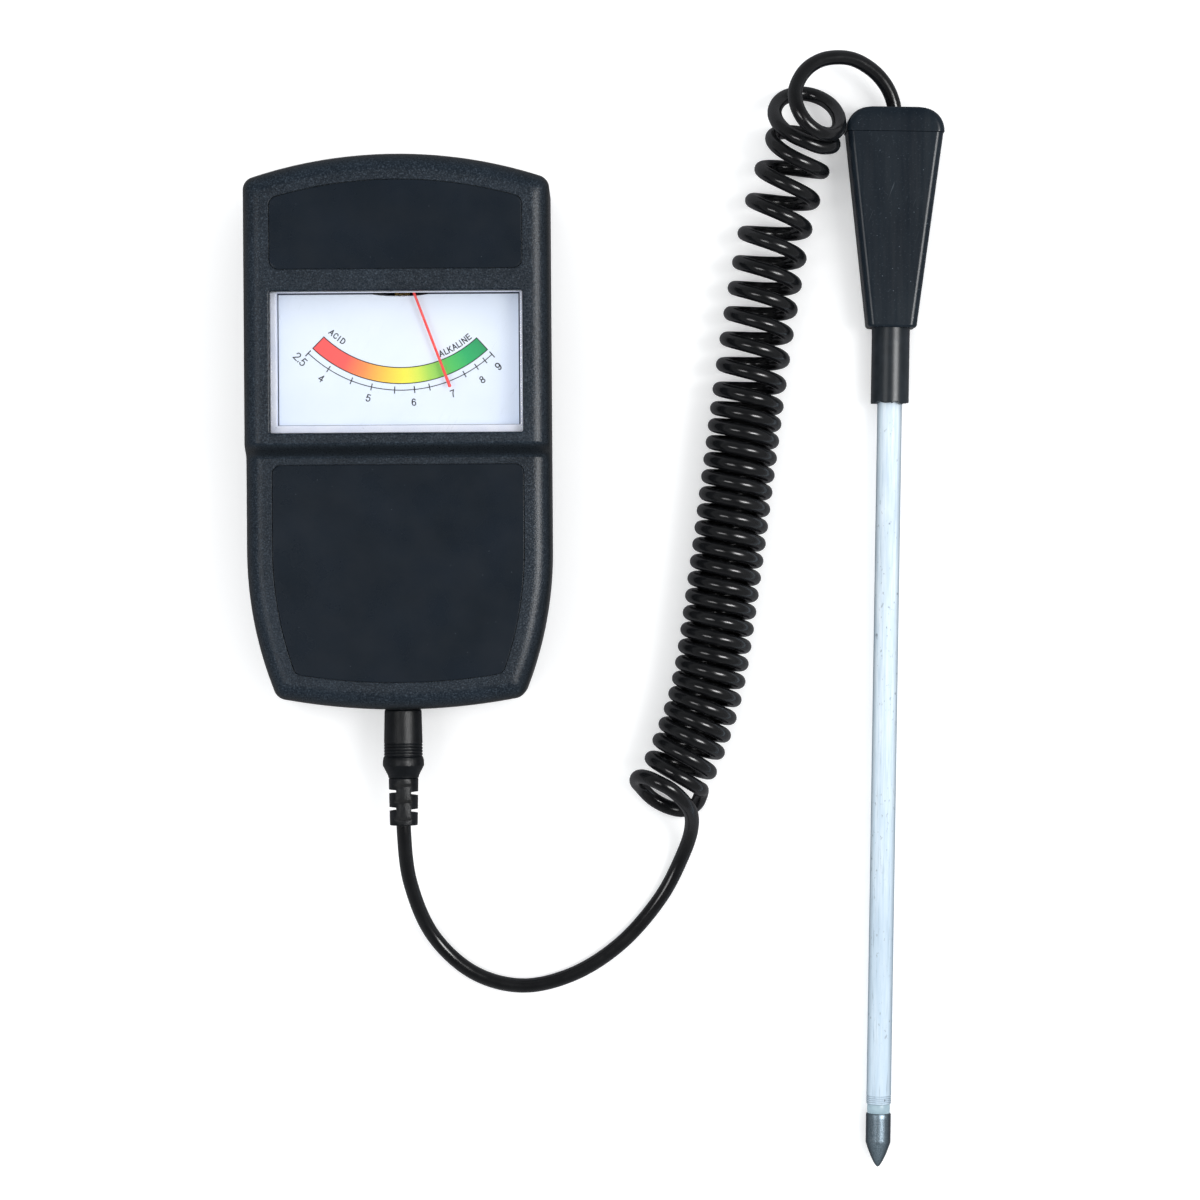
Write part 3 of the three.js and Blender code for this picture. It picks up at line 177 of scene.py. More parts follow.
class Finish(Nodes):
    """A procedural material: a Principled shader and the nodes that feed it. Sizes are in millimetres."""

    def __init__(self, name):
        self.material = bpy.data.materials.new(name)
        self.material.use_nodes = True
        super().__init__(self.material.node_tree)

    def skin(self, colour, roughness, normal=None, **others):
        values = {"Base Color": colour, "Roughness": roughness, **others}
        if normal is not None:
            values["Normal"] = normal
        for key, value in values.items():
            self.feed(self.tree.nodes["Principled BSDF"].inputs[key.replace("_", " ")], value)
        return self

    def place(self, stretch=(1, 1, 1), turn=0.0):
        """Position on the object in millimetres, with features drawn out along an axis by its stretch."""
        where = self.read("TexCoord", "Object")
        scale = [1 / MM / s for s in stretch]
        turned = self.node("Mapping", {"Vector": where, "Rotation": (0, 0, turn)})
        return self.node("Mapping", {"Vector": turned.outputs[0], "Scale": scale}).outputs[0]

    def noise(self, size, detail=2.0, stretch=(1, 1, 1), roughness=0.5, turn=0.0):
        inputs = {"Vector": self.place(stretch, turn), "Scale": 1 / size, "Detail": detail}
        return self.node("TexNoise", {**inputs, "Roughness": roughness}).outputs["Fac"]

    def spots(self, size, reach, stretch=(1, 1, 1)):
        """1 at the middle of scattered spots, falling to 0 at the given reach."""
        inputs = {"Vector": self.place(stretch), "Scale": 1 / size}
        return self.between(self.node("TexVoronoi", inputs).outputs["Distance"], reach, reach * 0.45)

    def mix(self, factor, a, b):
        node = self.node("Mix", {"Factor": factor}, data_type="RGBA")
        self.feed(node.inputs[6], a)
        self.feed(node.inputs[7], b)
        return node.outputs[2]

    def clouds(self, value, low, high, dark, pale):
        """From a dark to a pale colour as a value goes from low to high."""
        return self.mix(self.between(value, low, high), srgb(*dark), srgb(*pale))

    def over(self, base, factor, *colour):
        return self.mix(factor, base, srgb(*colour))

    def facing_up(self, low, high):
        """1 where the surface faces +Z, 0 where it leans away."""
        return self.between(self.part(self.read("TexCoord", "Normal"), "Z"), low, high)

    def rim(self, low, high, most):
        """0 face on, growing to most where the surface turns away from the eye."""
        facing = self.node("LayerWeight", {"Blend": 0.5}).outputs["Facing"]
        return self.between(facing, low, high, 0, most)

    def bump(self, height, depth, under=None):
        inputs = {"Height": height, "Distance": depth * MM, "Strength": 1.0}
        if under is not None:
            inputs["Normal"] = under
        return self.node("Bump", inputs).outputs["Normal"]


def grained_plastic():
    """Case shells: spark-eroded grain with paler flecks, and painted shade that makes the sides a darker
    grey.
    """
    f = Finish("case_plastic")
    grain = f.noise(0.42, 3, roughness=0.6)
    base = f.clouds(f.noise(14, 3), 0.35, 0.65, (22, 31, 40), (27, 37, 47))
    base = f.over(base, f.between(grain, 0.52, 0.68, 0, 0.5), 76, 89, 102)
    # Painted shade: surfaces turning away from +Z, down the sides and round the rolled edges, take a darker
    # grey.
    base = f.mix(f.facing_up(0.4, 0.92), srgb(24, 28, 31), base)
    rough = f.between(grain, 0.3, 0.7, 0.24, 0.38)
    return f.skin(base, rough, f.bump(grain, 0.075), Specular_IOR_Level=0.34)


def label_film():
    f = Finish("label_film")
    base = f.clouds(f.noise(16, 4), 0.3, 0.7, (18, 27, 36), (22, 31, 41))
    base = f.over(base, f.spots(3.2, 0.035), 86, 94, 102)
    rough = f.between(f.noise(9, 4), 0.35, 0.7, 0.26, 0.32)
    return f.skin(base, rough, f.bump(f.noise(0.16), 0.006), Specular_IOR_Level=0.3)


def clear_plastic():
    """Clear window: light passes straight through, with a reflection that grows towards grazing angles."""
    f = Finish("clear_plastic")
    scuffs = f.between(f.noise(0.5, 3, (1, 14, 1), turn=0.5), 0.62, 0.72, 0, 0.05)
    see = f.node("BsdfTransparent", {"Color": (1, 1, 1, 1)}).outputs[0]
    haze = f.between(f.noise(7, 3), 0.3, 0.7, 0.02, 0.05)
    shine = f.node("BsdfGlossy", {"Color": (1, 1, 1, 1), "Roughness": haze}).outputs[0]
    facing = f.node("Fresnel", {"IOR": 1.47}).outputs[0]
    outer = f.math("SUBTRACT", 1.0, f.read("NewGeometry", "Backfacing"))
    shown = f.math("MULTIPLY", f.read("LightPath", "Is Camera Ray"), outer)
    share = f.math("MULTIPLY", f.math("ADD", facing, scuffs), shown)
    mixed = f.node("MixShader", {0: share, 1: see, 2: shine})
    f.feed(f.tree.nodes["Material Output"].inputs["Surface"], mixed.outputs[0])
    return f.skin((0.95, 0.97, 1, 1), 0.05)


def smooth_skin(name, size, clouding, dark, pale, rough, grain, specks=None, stretch=(1, 1, 1)):
    """A smooth material, clouded from a dark to a pale colour.

    clouding is the noise's limits, and how far it goes towards the pale colour. grain is a size and a depth.
    specks are a spacing, a reach and a colour.
    """
    f = Finish(name)
    cloud = f.noise(size, 3, stretch)
    low, high, *most = clouding
    base = f.mix(f.between(cloud, low, high, 0, *most), srgb(*dark), srgb(*pale))
    if specks:
        base = f.over(base, f.spots(*specks[:2]), *specks[2])
    if isinstance(rough, tuple):
        rough = f.between(cloud, 0.3, 0.7, *rough)
    return f.skin(base, rough, f.bump(f.noise(grain[0]), grain[1]))


def printed_ink(name, colour, worn):
    """Thin screen-printed ink, a little uneven in density."""
    return smooth_skin(name, 0.35, (0.35, 0.75, 0.45), colour, worn, 0.45, (0.1, 0.003))


def band_ink():
    """The scale's colour band: red, orange, yellow and green by angle round the middle of the artwork."""
    f = Finish("band_ink")
    where = f.place()
    across = f.math("SUBTRACT", f.part(where, "X"), ARTWORK[0])
    down = f.math("SUBTRACT", ARTWORK[1], f.part(where, "Y"))
    angle = f.math("DEGREES", f.math("ARCTAN2", across, down))
    ramp = f.node("ValToRGB", {"Fac": f.between(angle, SCALE_START, SCALE_END)})
    stops = [(-28, 251, 90, 84), (-18, 250, 146, 74), (-8, 252, 200, 66), (1, 248, 234, 66),
             (8, 216, 232, 76), (13, 168, 218, 80), (24, 76, 200, 92), (33, 14, 178, 100)]
    elements = ramp.color_ramp.elements
    elements[0].color, elements[1].color = srgb(250, 84, 84), srgb(4, 158, 94)
    for at, *colour in stops:
        elements.new((at - SCALE_START) / (SCALE_END - SCALE_START)).color = srgb(*colour)
    dots = f.between(f.noise(0.22), 0.3, 0.7, 0.0, 0.02)
    return f.skin(f.mix(dots, ramp.outputs["Color"], (1, 1, 1, 1)), 0.45, f.bump(f.noise(0.1), 0.003))


def black_moulding(name, dark, pale, speckle, rough):
    """Satin black moulding with a fine uneven skin."""
    f = Finish(name)
    grain = f.noise(0.42, 3, roughness=0.65)
    base = f.clouds(f.noise(3, 3), 0.35, 0.7, dark, pale)
    base = f.over(base, f.between(grain, 0.64, 0.78, 0, 0.3), 70, 74, 78)
    return f.skin(base, f.between(grain, 0.3, 0.7, *rough), f.bump(grain, speckle), Specular_IOR_Level=0.4)


def cord_pvc():
    """Flexible PVC: glossy, with faint waves left by the extruder and a little dust."""
    f = Finish("cord_pvc")
    base = f.clouds(f.noise(7, 3), 0.4, 0.7, (15, 16, 18), (21, 22, 24))
    base = f.over(base, f.spots(2.6, 0.03), 62, 64, 66)
    skin = f.bump(f.noise(0.3), 0.0012, f.bump(f.noise(2.2), 0.006))
    rough = f.between(f.noise(2.5, 3), 0.35, 0.7, 0.16, 0.23)
    return f.skin(base, rough, skin, Specular_IOR_Level=0.85)


def handle_plastic():
    """Semi-gloss moulding with flow lines along its length, a painted sheen of broad paler clouds, hairline
    scratches and specks of dust.
    """
    f = Finish("handle_plastic")
    flow = f.noise(0.9, 4, (1, 40, 1), 0.6)
    base = f.clouds(flow, 0.35, 0.7, (20, 28, 36), (22, 30, 38))
    # Painted sheen: broad paler clouds drawn out along the handle.
    base = f.over(base, f.between(f.noise(9, 3, (1, 3, 1)), 0.4, 0.75, 0, 0.7), 33, 41, 48)
    base = f.over(base, f.between(f.noise(0.5, 3), 0.6, 0.72, 0, 0.3), 62, 72, 80)
    scratch = f.between(f.noise(0.5, 2, (1, 30, 1), turn=0.35), 0.73, 0.78, 0, 0.4)
    base = f.over(base, scratch, 96, 104, 112)
    base = f.over(base, f.spots(2.3, 0.07), 84, 94, 104)
    normal = f.bump(f.noise(0.3, 3), 0.006, f.bump(flow, 0.002))
    return f.skin(base, f.between(flow, 0.35, 0.7, 0.19, 0.25), normal, Specular_IOR_Level=0.35)


def tube_finish():
    """Drawn tube with a pale satin coat, marked by soil: fine streaks along it, grey nicks and specks.
    Painted shade darkens its edges where they turn from the eye, and the grooves of the rolled rings at its
    end.
    """
    f = Finish("tube_finish")
    streak = f.noise(0.55, 4, (1, 26, 1), 0.6, turn=PROBE_LEAN)
    base = f.clouds(streak, 0.35, 0.7, (200, 218, 232), (232, 243, 250))
    base = f.over(base, f.between(f.noise(11, 4, (1, 3, 1), 0.6), 0.5, 0.75, 0, 0.6), 184, 202, 218)
    lower = f.part(f.place(), "Y")
    base = f.over(base, f.between(lower, -40, -190, 0, 0.6), 174, 196, 214)
    hairlines = f.between(f.noise(0.3, 3, (1, 45, 1), 0.6, turn=PROBE_LEAN), 0.58, 0.7, 0, 0.6)
    hairlines = f.math("MULTIPLY", hairlines, f.between(lower, -20, -150, 0.3, 1))
    base = f.over(base, hairlines, 134, 150, 164)
    # Painted shade: a darker grey towards the edges, where the tube turns away from the eye.
    base = f.over(base, f.rim(0.25, 0.7, 0.75), 104, 120, 132)

    # Painted shade in the grooves of the rolled rings at the end, placed by distance along the probe's axis.
    axis = TO_FRAME.col[1].to_3d()
    along = f.node("VectorMath", {0: f.place(), 1: axis}, operation="DOT_PRODUCT").outputs["Value"]
    from_end = f.math("SUBTRACT", along, PROBE_TOP.dot(axis) + TUBE_END_Y)
    painted_groove_shade = f.between(f.math("PINGPONG", from_end, END_RING_PITCH / 2), 0.12, 0.04)
    painted_groove_shade = f.math("MULTIPLY", painted_groove_shade, f.between(from_end, 2.3, 2.2, 0, 0.42))
    base = f.over(base, painted_groove_shade, 128, 144, 158)

    chips = f.between(f.noise(0.8, 3, (1, 2.4, 1), 0.6), 0.62, 0.7, 0, 0.8)
    base = f.over(base, f.math("MULTIPLY", chips, f.between(f.noise(13), 0.45, 0.6)), 112, 122, 134)
    base = f.over(base, f.spots(5.5, 0.05, (1, 1.6, 1)), 88, 96, 106)
    normal = f.bump(f.noise(0.5, 3, (1, 3, 1)), 0.02, f.bump(streak, 0.012))
    return f.skin(base, f.between(streak, 0.3, 0.7, 0.5, 0.66), normal, Specular_IOR_Level=0.35)


def turned_metal(name, dark, pale, rough, grain, metallic):
    """Dark metal with fine turning marks round it and a granular, slightly oxidised skin, with painted shade
    at the edges that turn away from the eye.
    """
    f = Finish(name)
    pits = f.noise(0.32, 4, roughness=0.7)
    base = f.clouds(pits, 0.35, 0.7, dark, pale)
    # Painted shade: darker towards the edges as they turn away from the eye.
    base = f.over(base, f.rim(0.06, 0.5, 0.8), 44, 54, 62)
    normal = f.bump(pits, grain, f.bump(f.noise(0.22, 3, (7, 1, 7)), 0.012))
    return f.skin(base, f.between(pits, 0.3, 0.75, *rough), normal, Metallic=metallic)


def plain_metal(name, dark, pale, rough=(0.2, 0.36), metallic=1.0, size=0.5, depth=0.008):
    f = Finish(name)
    marks = f.noise(size, 3, (1, 1, 3))
    base = f.clouds(f.noise(4, 3), 0.35, 0.7, dark, pale)
    return f.skin(base, f.between(marks, 0.3, 0.7, *rough), f.bump(marks, depth), Metallic=metallic)


CASE = grained_plastic()
LABEL = label_film()
CLEAR = clear_plastic()
WHITE = smooth_skin("white_plastic", 6, (0.35, 0.65), (228, 234, 252), (238, 242, 255), (0.3, 0.4),
                    (0.4, 0.01), (2.5, 0.05, (172, 176, 196)))
ENAMEL = smooth_skin("dial_enamel", 22, (0.35, 0.65), (225, 235, 250), (231, 240, 253), (0.5, 0.6),
                     (0.12, 0.004), (4.5, 0.022, (178, 184, 202)))
INK = printed_ink("scale_ink", (24, 26, 32), (52, 54, 64))
TEXT_INK = printed_ink("text_ink", (26, 28, 36), (56, 58, 70))
# Painted shade, in the ink finish: the dark colour laid where the moulding shades the dial.
GAP_SHADE = printed_ink("gap_shade", (44, 50, 68), (62, 70, 92))
BAND = band_ink()
RED = smooth_skin("pointer_paint", 1.5, (0.4, 0.7), (248, 62, 60), (252, 92, 88), 0.4, (0.15, 0.004))
BLACK = black_moulding("black_moulding", (9, 13, 17), (16, 20, 25), 0.09, (0.28, 0.4))
COLLAR = black_moulding("collar_moulding", (31, 37, 42), (38, 44, 50), 0.006, (0.28, 0.34))
CORD = cord_pvc()
HANDLE = handle_plastic()
TUBE = tube_finish()
RING = smooth_skin("ring_plastic", 1.4, (0.35, 0.7), (152, 176, 188), (166, 190, 200), 0.38,
                   (0.3, 0.008), stretch=(3, 1, 1))
TIP_SIDE = turned_metal("tip_metal", (116, 134, 147), (176, 194, 206), (0.28, 0.44), 0.035, 0.8)
TIP_CONE = turned_metal("tip_metal_cone", (98, 116, 127), (156, 174, 186), (0.42, 0.56), 0.04, 0.6)
STEEL = plain_metal("steel", (150, 152, 154), (176, 178, 180))
BRASS = plain_metal("brass", (170, 138, 76), (196, 164, 98))
COPPER = plain_metal("copper", (168, 96, 58), (190, 116, 74), size=0.12, depth=0.03)
ALUMINIUM = plain_metal("aluminium", (180, 182, 184), (206, 208, 210), (0.28, 0.45))
MAGNET = plain_metal("magnet", (62, 64, 67), (82, 84, 88), (0.36, 0.55), 0.7, 0.3, 0.03)
WIRES = {colour: smooth_skin(colour + "_wire", 3, (0.35, 0.7), dark, pale, 0.36, (0.4, 0.01))
         for colour, dark, pale in (("red", (160, 34, 28), (186, 48, 40)),
                                    ("green", (34, 92, 52), (48, 116, 66)))}

# ---------------- meshes


def pairs(ring):
    """Each point of a closed ring with the next."""
    return list(zip(ring, ring[1:] + ring[:1]))


class Skin:
    """Rings of points and the faces between them, in millimetres."""

    def __init__(self):
        self.points, self.faces = [], []

    def ring(self, points):
        first = len(self.points)
        self.points += [tuple(float(c) for c in p) for p in points]
        return list(range(first, len(self.points)))

    def join(self, *rings):
        """Side faces between each ring and the next."""
        for a, b in zip(rings, rings[1:]):
            self.faces += [(a0, a1, b1, b0) for (a0, a1), (b0, b1) in zip(pairs(a), pairs(b))]

    def cap(self, ring):
        self.faces.append(tuple(ring))

    def point(self, ring, tip):
        """A fan from a ring to one point."""
        centre = self.ring([tip])[0]
        self.faces += [(a, b, centre) for a, b in pairs(ring)]

    def flat(self, outer, holes=(), bars=()):
        """Triangles inside one ring and outside the others, seen along Z, with edges kept along the bars."""
        ids = [i for ring in (outer, *holes) for i in ring]
        slot = {i: k for k, i in enumerate(ids)}
        edges = [(slot[a], slot[b]) for ring in (outer, *holes) for a, b in pairs(ring)]
        edges += [(slot[a], slot[b]) for a, b in bars]
        flat_points = [Vector(self.points[i][:2]) for i in ids]
        made, _, triangles, origin, _, _ = geometry.delaunay_2d_cdt(flat_points, edges, [], 0, 1e-7)
        loops = [np.array([self.points[i][:2] for i in ring]) for ring in (outer, *holes)]
        for triangle in triangles:
            middle = sum((Vector(made[i]) for i in triangle), Vector((0, 0))) / len(triangle)
            if inside(middle, loops[0]) and not any(inside(middle, hole) for hole in loops[1:]):
                self.faces.append(tuple(ids[origin[i][0]] for i in triangle))

    def solid(self, name):
        """An object in millimetres with its faces turned outwards."""
        mesh = bpy.data.meshes.new(name)
        mesh.from_pydata(self.points, [], self.faces)
        shell = bmesh.new()
        shell.from_mesh(mesh)
        bmesh.ops.recalc_face_normals(shell, faces=shell.faces)
        shell.to_mesh(mesh)
        shell.free()
        obj = bpy.data.objects.new(name, mesh)
        bpy.context.scene.collection.objects.link(obj)
        return obj


def inside(point, loop):
    """Whether a point is inside a closed loop, by the even and odd crossing rule."""
    x0, y0 = loop[:, 0], loop[:, 1]
    x1, y1 = np.roll(x0, -1), np.roll(y0, -1)
    spans = (y0 > point[1]) != (y1 > point[1])
    with np.errstate(divide="ignore", invalid="ignore"):
        at_x = x0 + (point[1] - y0) * (x1 - x0) / (y1 - y0)
    return bool(np.sum(spans & (point[0] < at_x)) % 2)


def settle(obj):
    """Applies an object's modifiers to its mesh."""
    bpy.context.view_layer.update()
    evaluated = obj.evaluated_get(bpy.context.evaluated_depsgraph_get())
    mesh = bpy.data.meshes.new_from_object(evaluated)
    obj.modifiers.clear()
    obj.data = mesh
    return obj


def carve(obj, tools, operation="DIFFERENCE"):
    """Cuts the tools out of a solid, or joins them to it, and deletes them."""
    for tool in tools:
        modifier = obj.modifiers.new("carve", "BOOLEAN")
        modifier.object, modifier.operation, modifier.solver = tool, operation, "EXACT"
    settle(obj)
    for tool in tools:
        bpy.data.objects.remove(tool)
    return obj


as_built = set(BODY_OF)  # the CAD nodes that no piece has replaced yet


def place(obj, finish, node, hides=True, angle=34, weighted=True, blended=False):
    """Scales a solid to metres, gives it a finish, shades it smooth up to an angle, and attaches it to a CAD
    node's body.

    The piece hides the node, unless it only adds to it. A blended piece rides on no single body.
    """
    mesh = obj.data
    mesh.transform(Matrix.Scale(MM, 4))
    mesh.materials.clear()
    mesh.materials.append(finish.material)
    mesh.shade_smooth()
    mesh.set_sharp_from_angle(angle=math.radians(angle))
    if weighted:
        obj.modifiers.new("normals", "WEIGHTED_NORMAL").keep_sharp = True
    if not blended:
        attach(obj, BODY_OF[node])
    if hides:
        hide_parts(node)
        as_built.discard(node)
    return obj


def circle(sides):
    return np.linspace(0, 2 * math.pi, sides, endpoint=False)


def arc(cx, cy, radius, start, end, count):
    angles = np.linspace(start, end, count + 1)
    return [(cx + radius * math.cos(a), cy + radius * math.sin(a)) for a in angles]


def quarter(radius, count, start=0, end=90):
    """Insets and drops round a rounded edge, from its side at 0 degrees to its flat at 90."""
    angles = np.radians(np.linspace(start, end, count))
    return [(radius * (1 - math.cos(a)), radius * (1 - math.sin(a))) for a in angles]


def offset(loop, distance):
    """A closed anticlockwise loop of 2-D points moved outwards, or inwards for a negative distance."""
    pts = np.array(loop, float)
    before, after = pts - np.roll(pts, 1, 0), np.roll(pts, -1, 0) - pts
    before /= np.linalg.norm(before, axis=1)[:, None]
    after /= np.linalg.norm(after, axis=1)[:, None]
    n0 = np.stack([before[:, 1], -before[:, 0]], 1)
    n1 = np.stack([after[:, 1], -after[:, 0]], 1)
    miter = (n0 + n1) / (1 + np.sum(n0 * n1, 1))[:, None]
    return pts + miter * distance


def at_height(loop, z):
    return [(x, y, z) for x, y in loop]


def rectangle(x0, x1, y0, y1, corner=0.6, count=4):
    """An anticlockwise rectangle with rounded corners."""
    corners = [(x1 - corner, y1 - corner), (x0 + corner, y1 - corner), (x0 + corner, y0 + corner),
               (x1 - corner, y0 + corner)]
    turn = math.pi / 2
    return [p for i, (cx, cy) in enumerate(corners)
            for p in arc(cx, cy, corner, i * turn, (i + 1) * turn, count)]


def rounded(profile, radius, count=3, closed=False):
    """A profile with its corners rounded, each by no more than its shorter side allows."""
    straight, most = math.radians(172), 0.45
    points = [Vector(p) for p in profile]
    out = [] if closed else [points[0]]
    for i in range(len(points)) if closed else range(1, len(points) - 1):
        a, b, c = points[i - 1], points[i], points[(i + 1) % len(points)]
        back, ahead = a - b, c - b
        if back.length < 1e-6 or ahead.length < 1e-6 or back.angle(ahead) > straight:
            out.append(b)
            continue
        cut = min(radius, back.length * most, ahead.length * most)
        start, end = b + back.normalized() * cut, b + ahead.normalized() * cut
        steps = np.arange(count + 1) / count
        out += [start * (1 - t) ** 2 + b * (2 * t * (1 - t)) + end * t**2 for t in steps]
    if not closed:
        out.append(points[-1])
    return [(p.x, p.y) for p in out]


def loft(name, rings):
    """A solid through rings of points, closed at both ends."""
    skin = Skin()
    made = [skin.ring(r) for r in rings]
    skin.join(*made)
    skin.cap(made[0])
    skin.cap(made[-1])
    return skin.solid(name)


def plate(name, loop, z0, z1, bevel=0.12, segments=3):
    """A flat plate with rounded upper and lower edges, from an anticlockwise loop."""
    skin = Skin()
    profile = [(d, z1 - drop) for d, drop in quarter(bevel, segments + 1)]
    profile = [(d, z0 + z1 - z) for d, z in reversed(profile)] + profile
    rings = [skin.ring(at_height(offset(loop, -d), z)) for d, z in profile]
    skin.join(*rings)
    skin.flat(rings[-1])
    skin.flat(rings[0])
    return skin.solid(name)


def block(name, x0, x1, y0, y1, z0, z1):
    return loft(name, [at_height([(x0, y0), (x1, y0), (x1, y1), (x0, y1)], z) for z in (z0, z1)])


def lathe(name, profile, sides=72, centre=(0, 0), closed=False, upright=False):
    """A solid of revolution, from [radius, height] pairs, about a line along Y, or along Z when upright.

    centre is where the line crosses the other two axes.
    """
    def at(radius, height, a):
        u, v = centre[0] + radius * math.cos(a), centre[1] + radius * math.sin(a)
        return (u, v, height) if upright else (u, height, v)

    skin = Skin()
    rings = [skin.ring([at(r, h, a) for a in circle(sides)]) for r, h in profile if closed or r > 1e-6]
    skin.join(*rings)
    if closed:
        skin.join(rings[-1], rings[0])
    else:
        skin.point(rings[0], at(0, profile[0][1], 0))
        skin.point(rings[-1], at(0, profile[-1][1], 0))
    return skin.solid(name)


def rod(name, radius, y0, y1, centre=(0, 0)):
    return lathe(name, [(0, y0), (radius, y0), (radius, y1), (0, y1)], 48, centre)


def through(points, per_step):
    """A centripetal Catmull-Rom curve through the points, sampled a number of times on each step."""
    p = np.array(points, float)
    p = np.vstack([2 * p[0] - p[1], p, 2 * p[-1] - p[-2]])
    out = []
    for i in range(1, len(p) - 2):
        a, b, c, d = p[i - 1:i + 3]
        d0, d1, d2 = [max(np.linalg.norm(q), 1e-9) ** 0.5 for q in (b - a, c - b, d - c)]
        start = ((b - a) / d0 - (c - a) / (d0 + d1) + (c - b) / d1) * d1
        end = ((c - b) / d1 - (d - b) / (d1 + d2) + (d - c) / d2) * d1
        t = np.arange(per_step)[:, None] / per_step
        square, cube = 3 * (c - b) - 2 * start - end, 2 * (b - c) + start + end
        out.append(b + start * t + square * t**2 + cube * t**3)
    return np.vstack([*out, p[-2:-1]])


def distances(points):
    """How far along a line each of its points is."""
    return np.concatenate([[0], np.cumsum(np.linalg.norm(np.diff(points, axis=0), axis=1))])


def evenly(points, spacing):
    """The same line with its points a fixed distance apart."""
    lengths = distances(points)
    count = max(int(round(lengths[-1] / spacing)), 2)
    at = np.linspace(0, lengths[-1], count + 1)
    return np.stack([np.interp(at, lengths, points[:, k]) for k in range(3)], 1)


def sweep(name, centres, radius=CORD_RADIUS, sides=CORD_SIDES):
    """A round cord along a line, its section carried along without twisting."""
    tangents = np.gradient(centres, axis=0)
    tangents /= np.linalg.norm(tangents, axis=1)[:, None]
    normal = np.cross(tangents[0], (0, 0, 1) if abs(tangents[0][2]) < 0.9 else (1, 0, 0))
    rings = []
    for centre, tangent in zip(centres, tangents):
        normal = normal - tangent * np.dot(normal, tangent)
        normal /= np.linalg.norm(normal)
        side = np.cross(tangent, normal)
        rings.append([centre + radius * (normal * math.cos(a) + side * math.sin(a)) for a in circle(sides)])
    return loft(name, rings)


# ---------------- case


def crossing(a, ra, b, rb):
    """The lower of the two points where circles round a and b cross."""
    a, b = Vector(a), Vector(b)
    along = b - a
    distance = along.length
    reach = (distance**2 + ra**2 - rb**2) / (2 * distance)
    height = math.sqrt(ra**2 - reach**2)
    along.normalize()
    side = Vector((-along.y, along.x)) * height
    return min((a + along * reach + side, a + along * reach - side), key=lambda p: p.y)


def half_outline(inset):
    """The right half of the case outline moved inwards, from the top centre to the bottom centre."""
    half_width = HALF_WIDTH - inset
    top_y = HALF_LENGTH - TOP_RADIUS
    side_centre = (HALF_WIDTH - TAPER_RADIUS, TAPER_START)
    bottom_centre = (0, BOTTOM_RADIUS - HALF_LENGTH)
    top_r, side_r, bottom_r = TOP_RADIUS - inset, TAPER_RADIUS - inset, BOTTOM_RADIUS - inset
    top_c = max(TOP_CORNER - inset, SMALLEST_CORNER)
    bottom_c = max(BOTTOM_CORNER - inset, SMALLEST_CORNER)
    corner_x = half_width - top_c
    corner_y = top_y + math.sqrt((top_r - top_c) ** 2 - corner_x**2)
    low = crossing(side_centre, side_r - bottom_c, bottom_centre, bottom_r - bottom_c)
    top_angle = math.atan2(corner_y - top_y, corner_x)
    side_angle = math.atan2(low.y - side_centre[1], low.x - side_centre[0])
    bottom_angle = math.atan2(low.y - bottom_centre[1], low.x)
    return [
        *arc(0, top_y, top_r, math.pi / 2, top_angle, 20),
        *arc(corner_x, corner_y, top_c, top_angle, 0, 10)[1:],
        *[(half_width, y) for y in SIDE_ROWS],
        *arc(*side_centre, side_r, 0, side_angle, 18),
        *arc(low.x, low.y, bottom_c, side_angle, bottom_angle, 10)[1:],
        *arc(*bottom_centre, bottom_r, bottom_angle, -math.pi / 2, 14)[1:],
    ]


def mirrored(half):
    """A right half closed with its mirror image, anticlockwise."""
    return [(-x, y) for x, y in half if x > 1e-6] + half[::-1]


def label_outline(extra, end_y, upper):
    """A label panel's outline, grown by extra, with the corners at its straight end rounded."""
    way, corner = 1 if upper else -1, LABEL_CORNER + extra
    end_y -= way * extra
    corner_x = HALF_WIDTH - LABEL_BORDER + extra - corner
    curved = [p for p in half_outline(LABEL_BORDER - extra) if way * (p[1] - end_y) > corner]
    bend = arc(corner_x, end_y + way * corner, corner, 0, -way * math.pi / 2, 8) + [(0, end_y)]
    return mirrored(curved + bend if upper else bend[::-1] + curved)


def face_height(y):
    """Height of the case's face: a raised part round the dial, rolling down to the lower part."""
    t = min(max((STEP_TOP_Y - y) / (STEP_TOP_Y - STEP_FOOT_Y), 0), 1)
    return UPPER_TOP - (UPPER_TOP - LOWER_TOP) * (1 - math.cos(math.pi * t)) / 2


def case_ring(inset, height):
    """The case outline at an inset, each point at a height that may depend on its y."""
    return [(x, y, height(y) if callable(height) else height) for x, y in mirrored(half_outline(inset))]


def step_bars(skin, ring, low, high):
    """Pairs of ring points that face each other across the step."""
    where = {(round(skin.points[i][0], 4), round(skin.points[i][1], 4)): i for i in ring}
    return [(i, where[(-x, y)]) for (x, y), i in where.items()
            if x > 0 and low <= y <= high and (-x, y) in where]


def window_ring(grow, z, corner=WINDOW_CORNER, count=4):
    x0, x1, y0, y1 = WINDOW
    return at_height(rectangle(x0 - grow, x1 + grow, y0 - grow, y1 + grow, corner, count), z)


def socket_hole():
    return rod("tool", SOCKET_HOLE_RADIUS, BEYOND_CORD_Y, SOCKET_HOLE_DEPTH - HALF_LENGTH, PLUG_LINE)


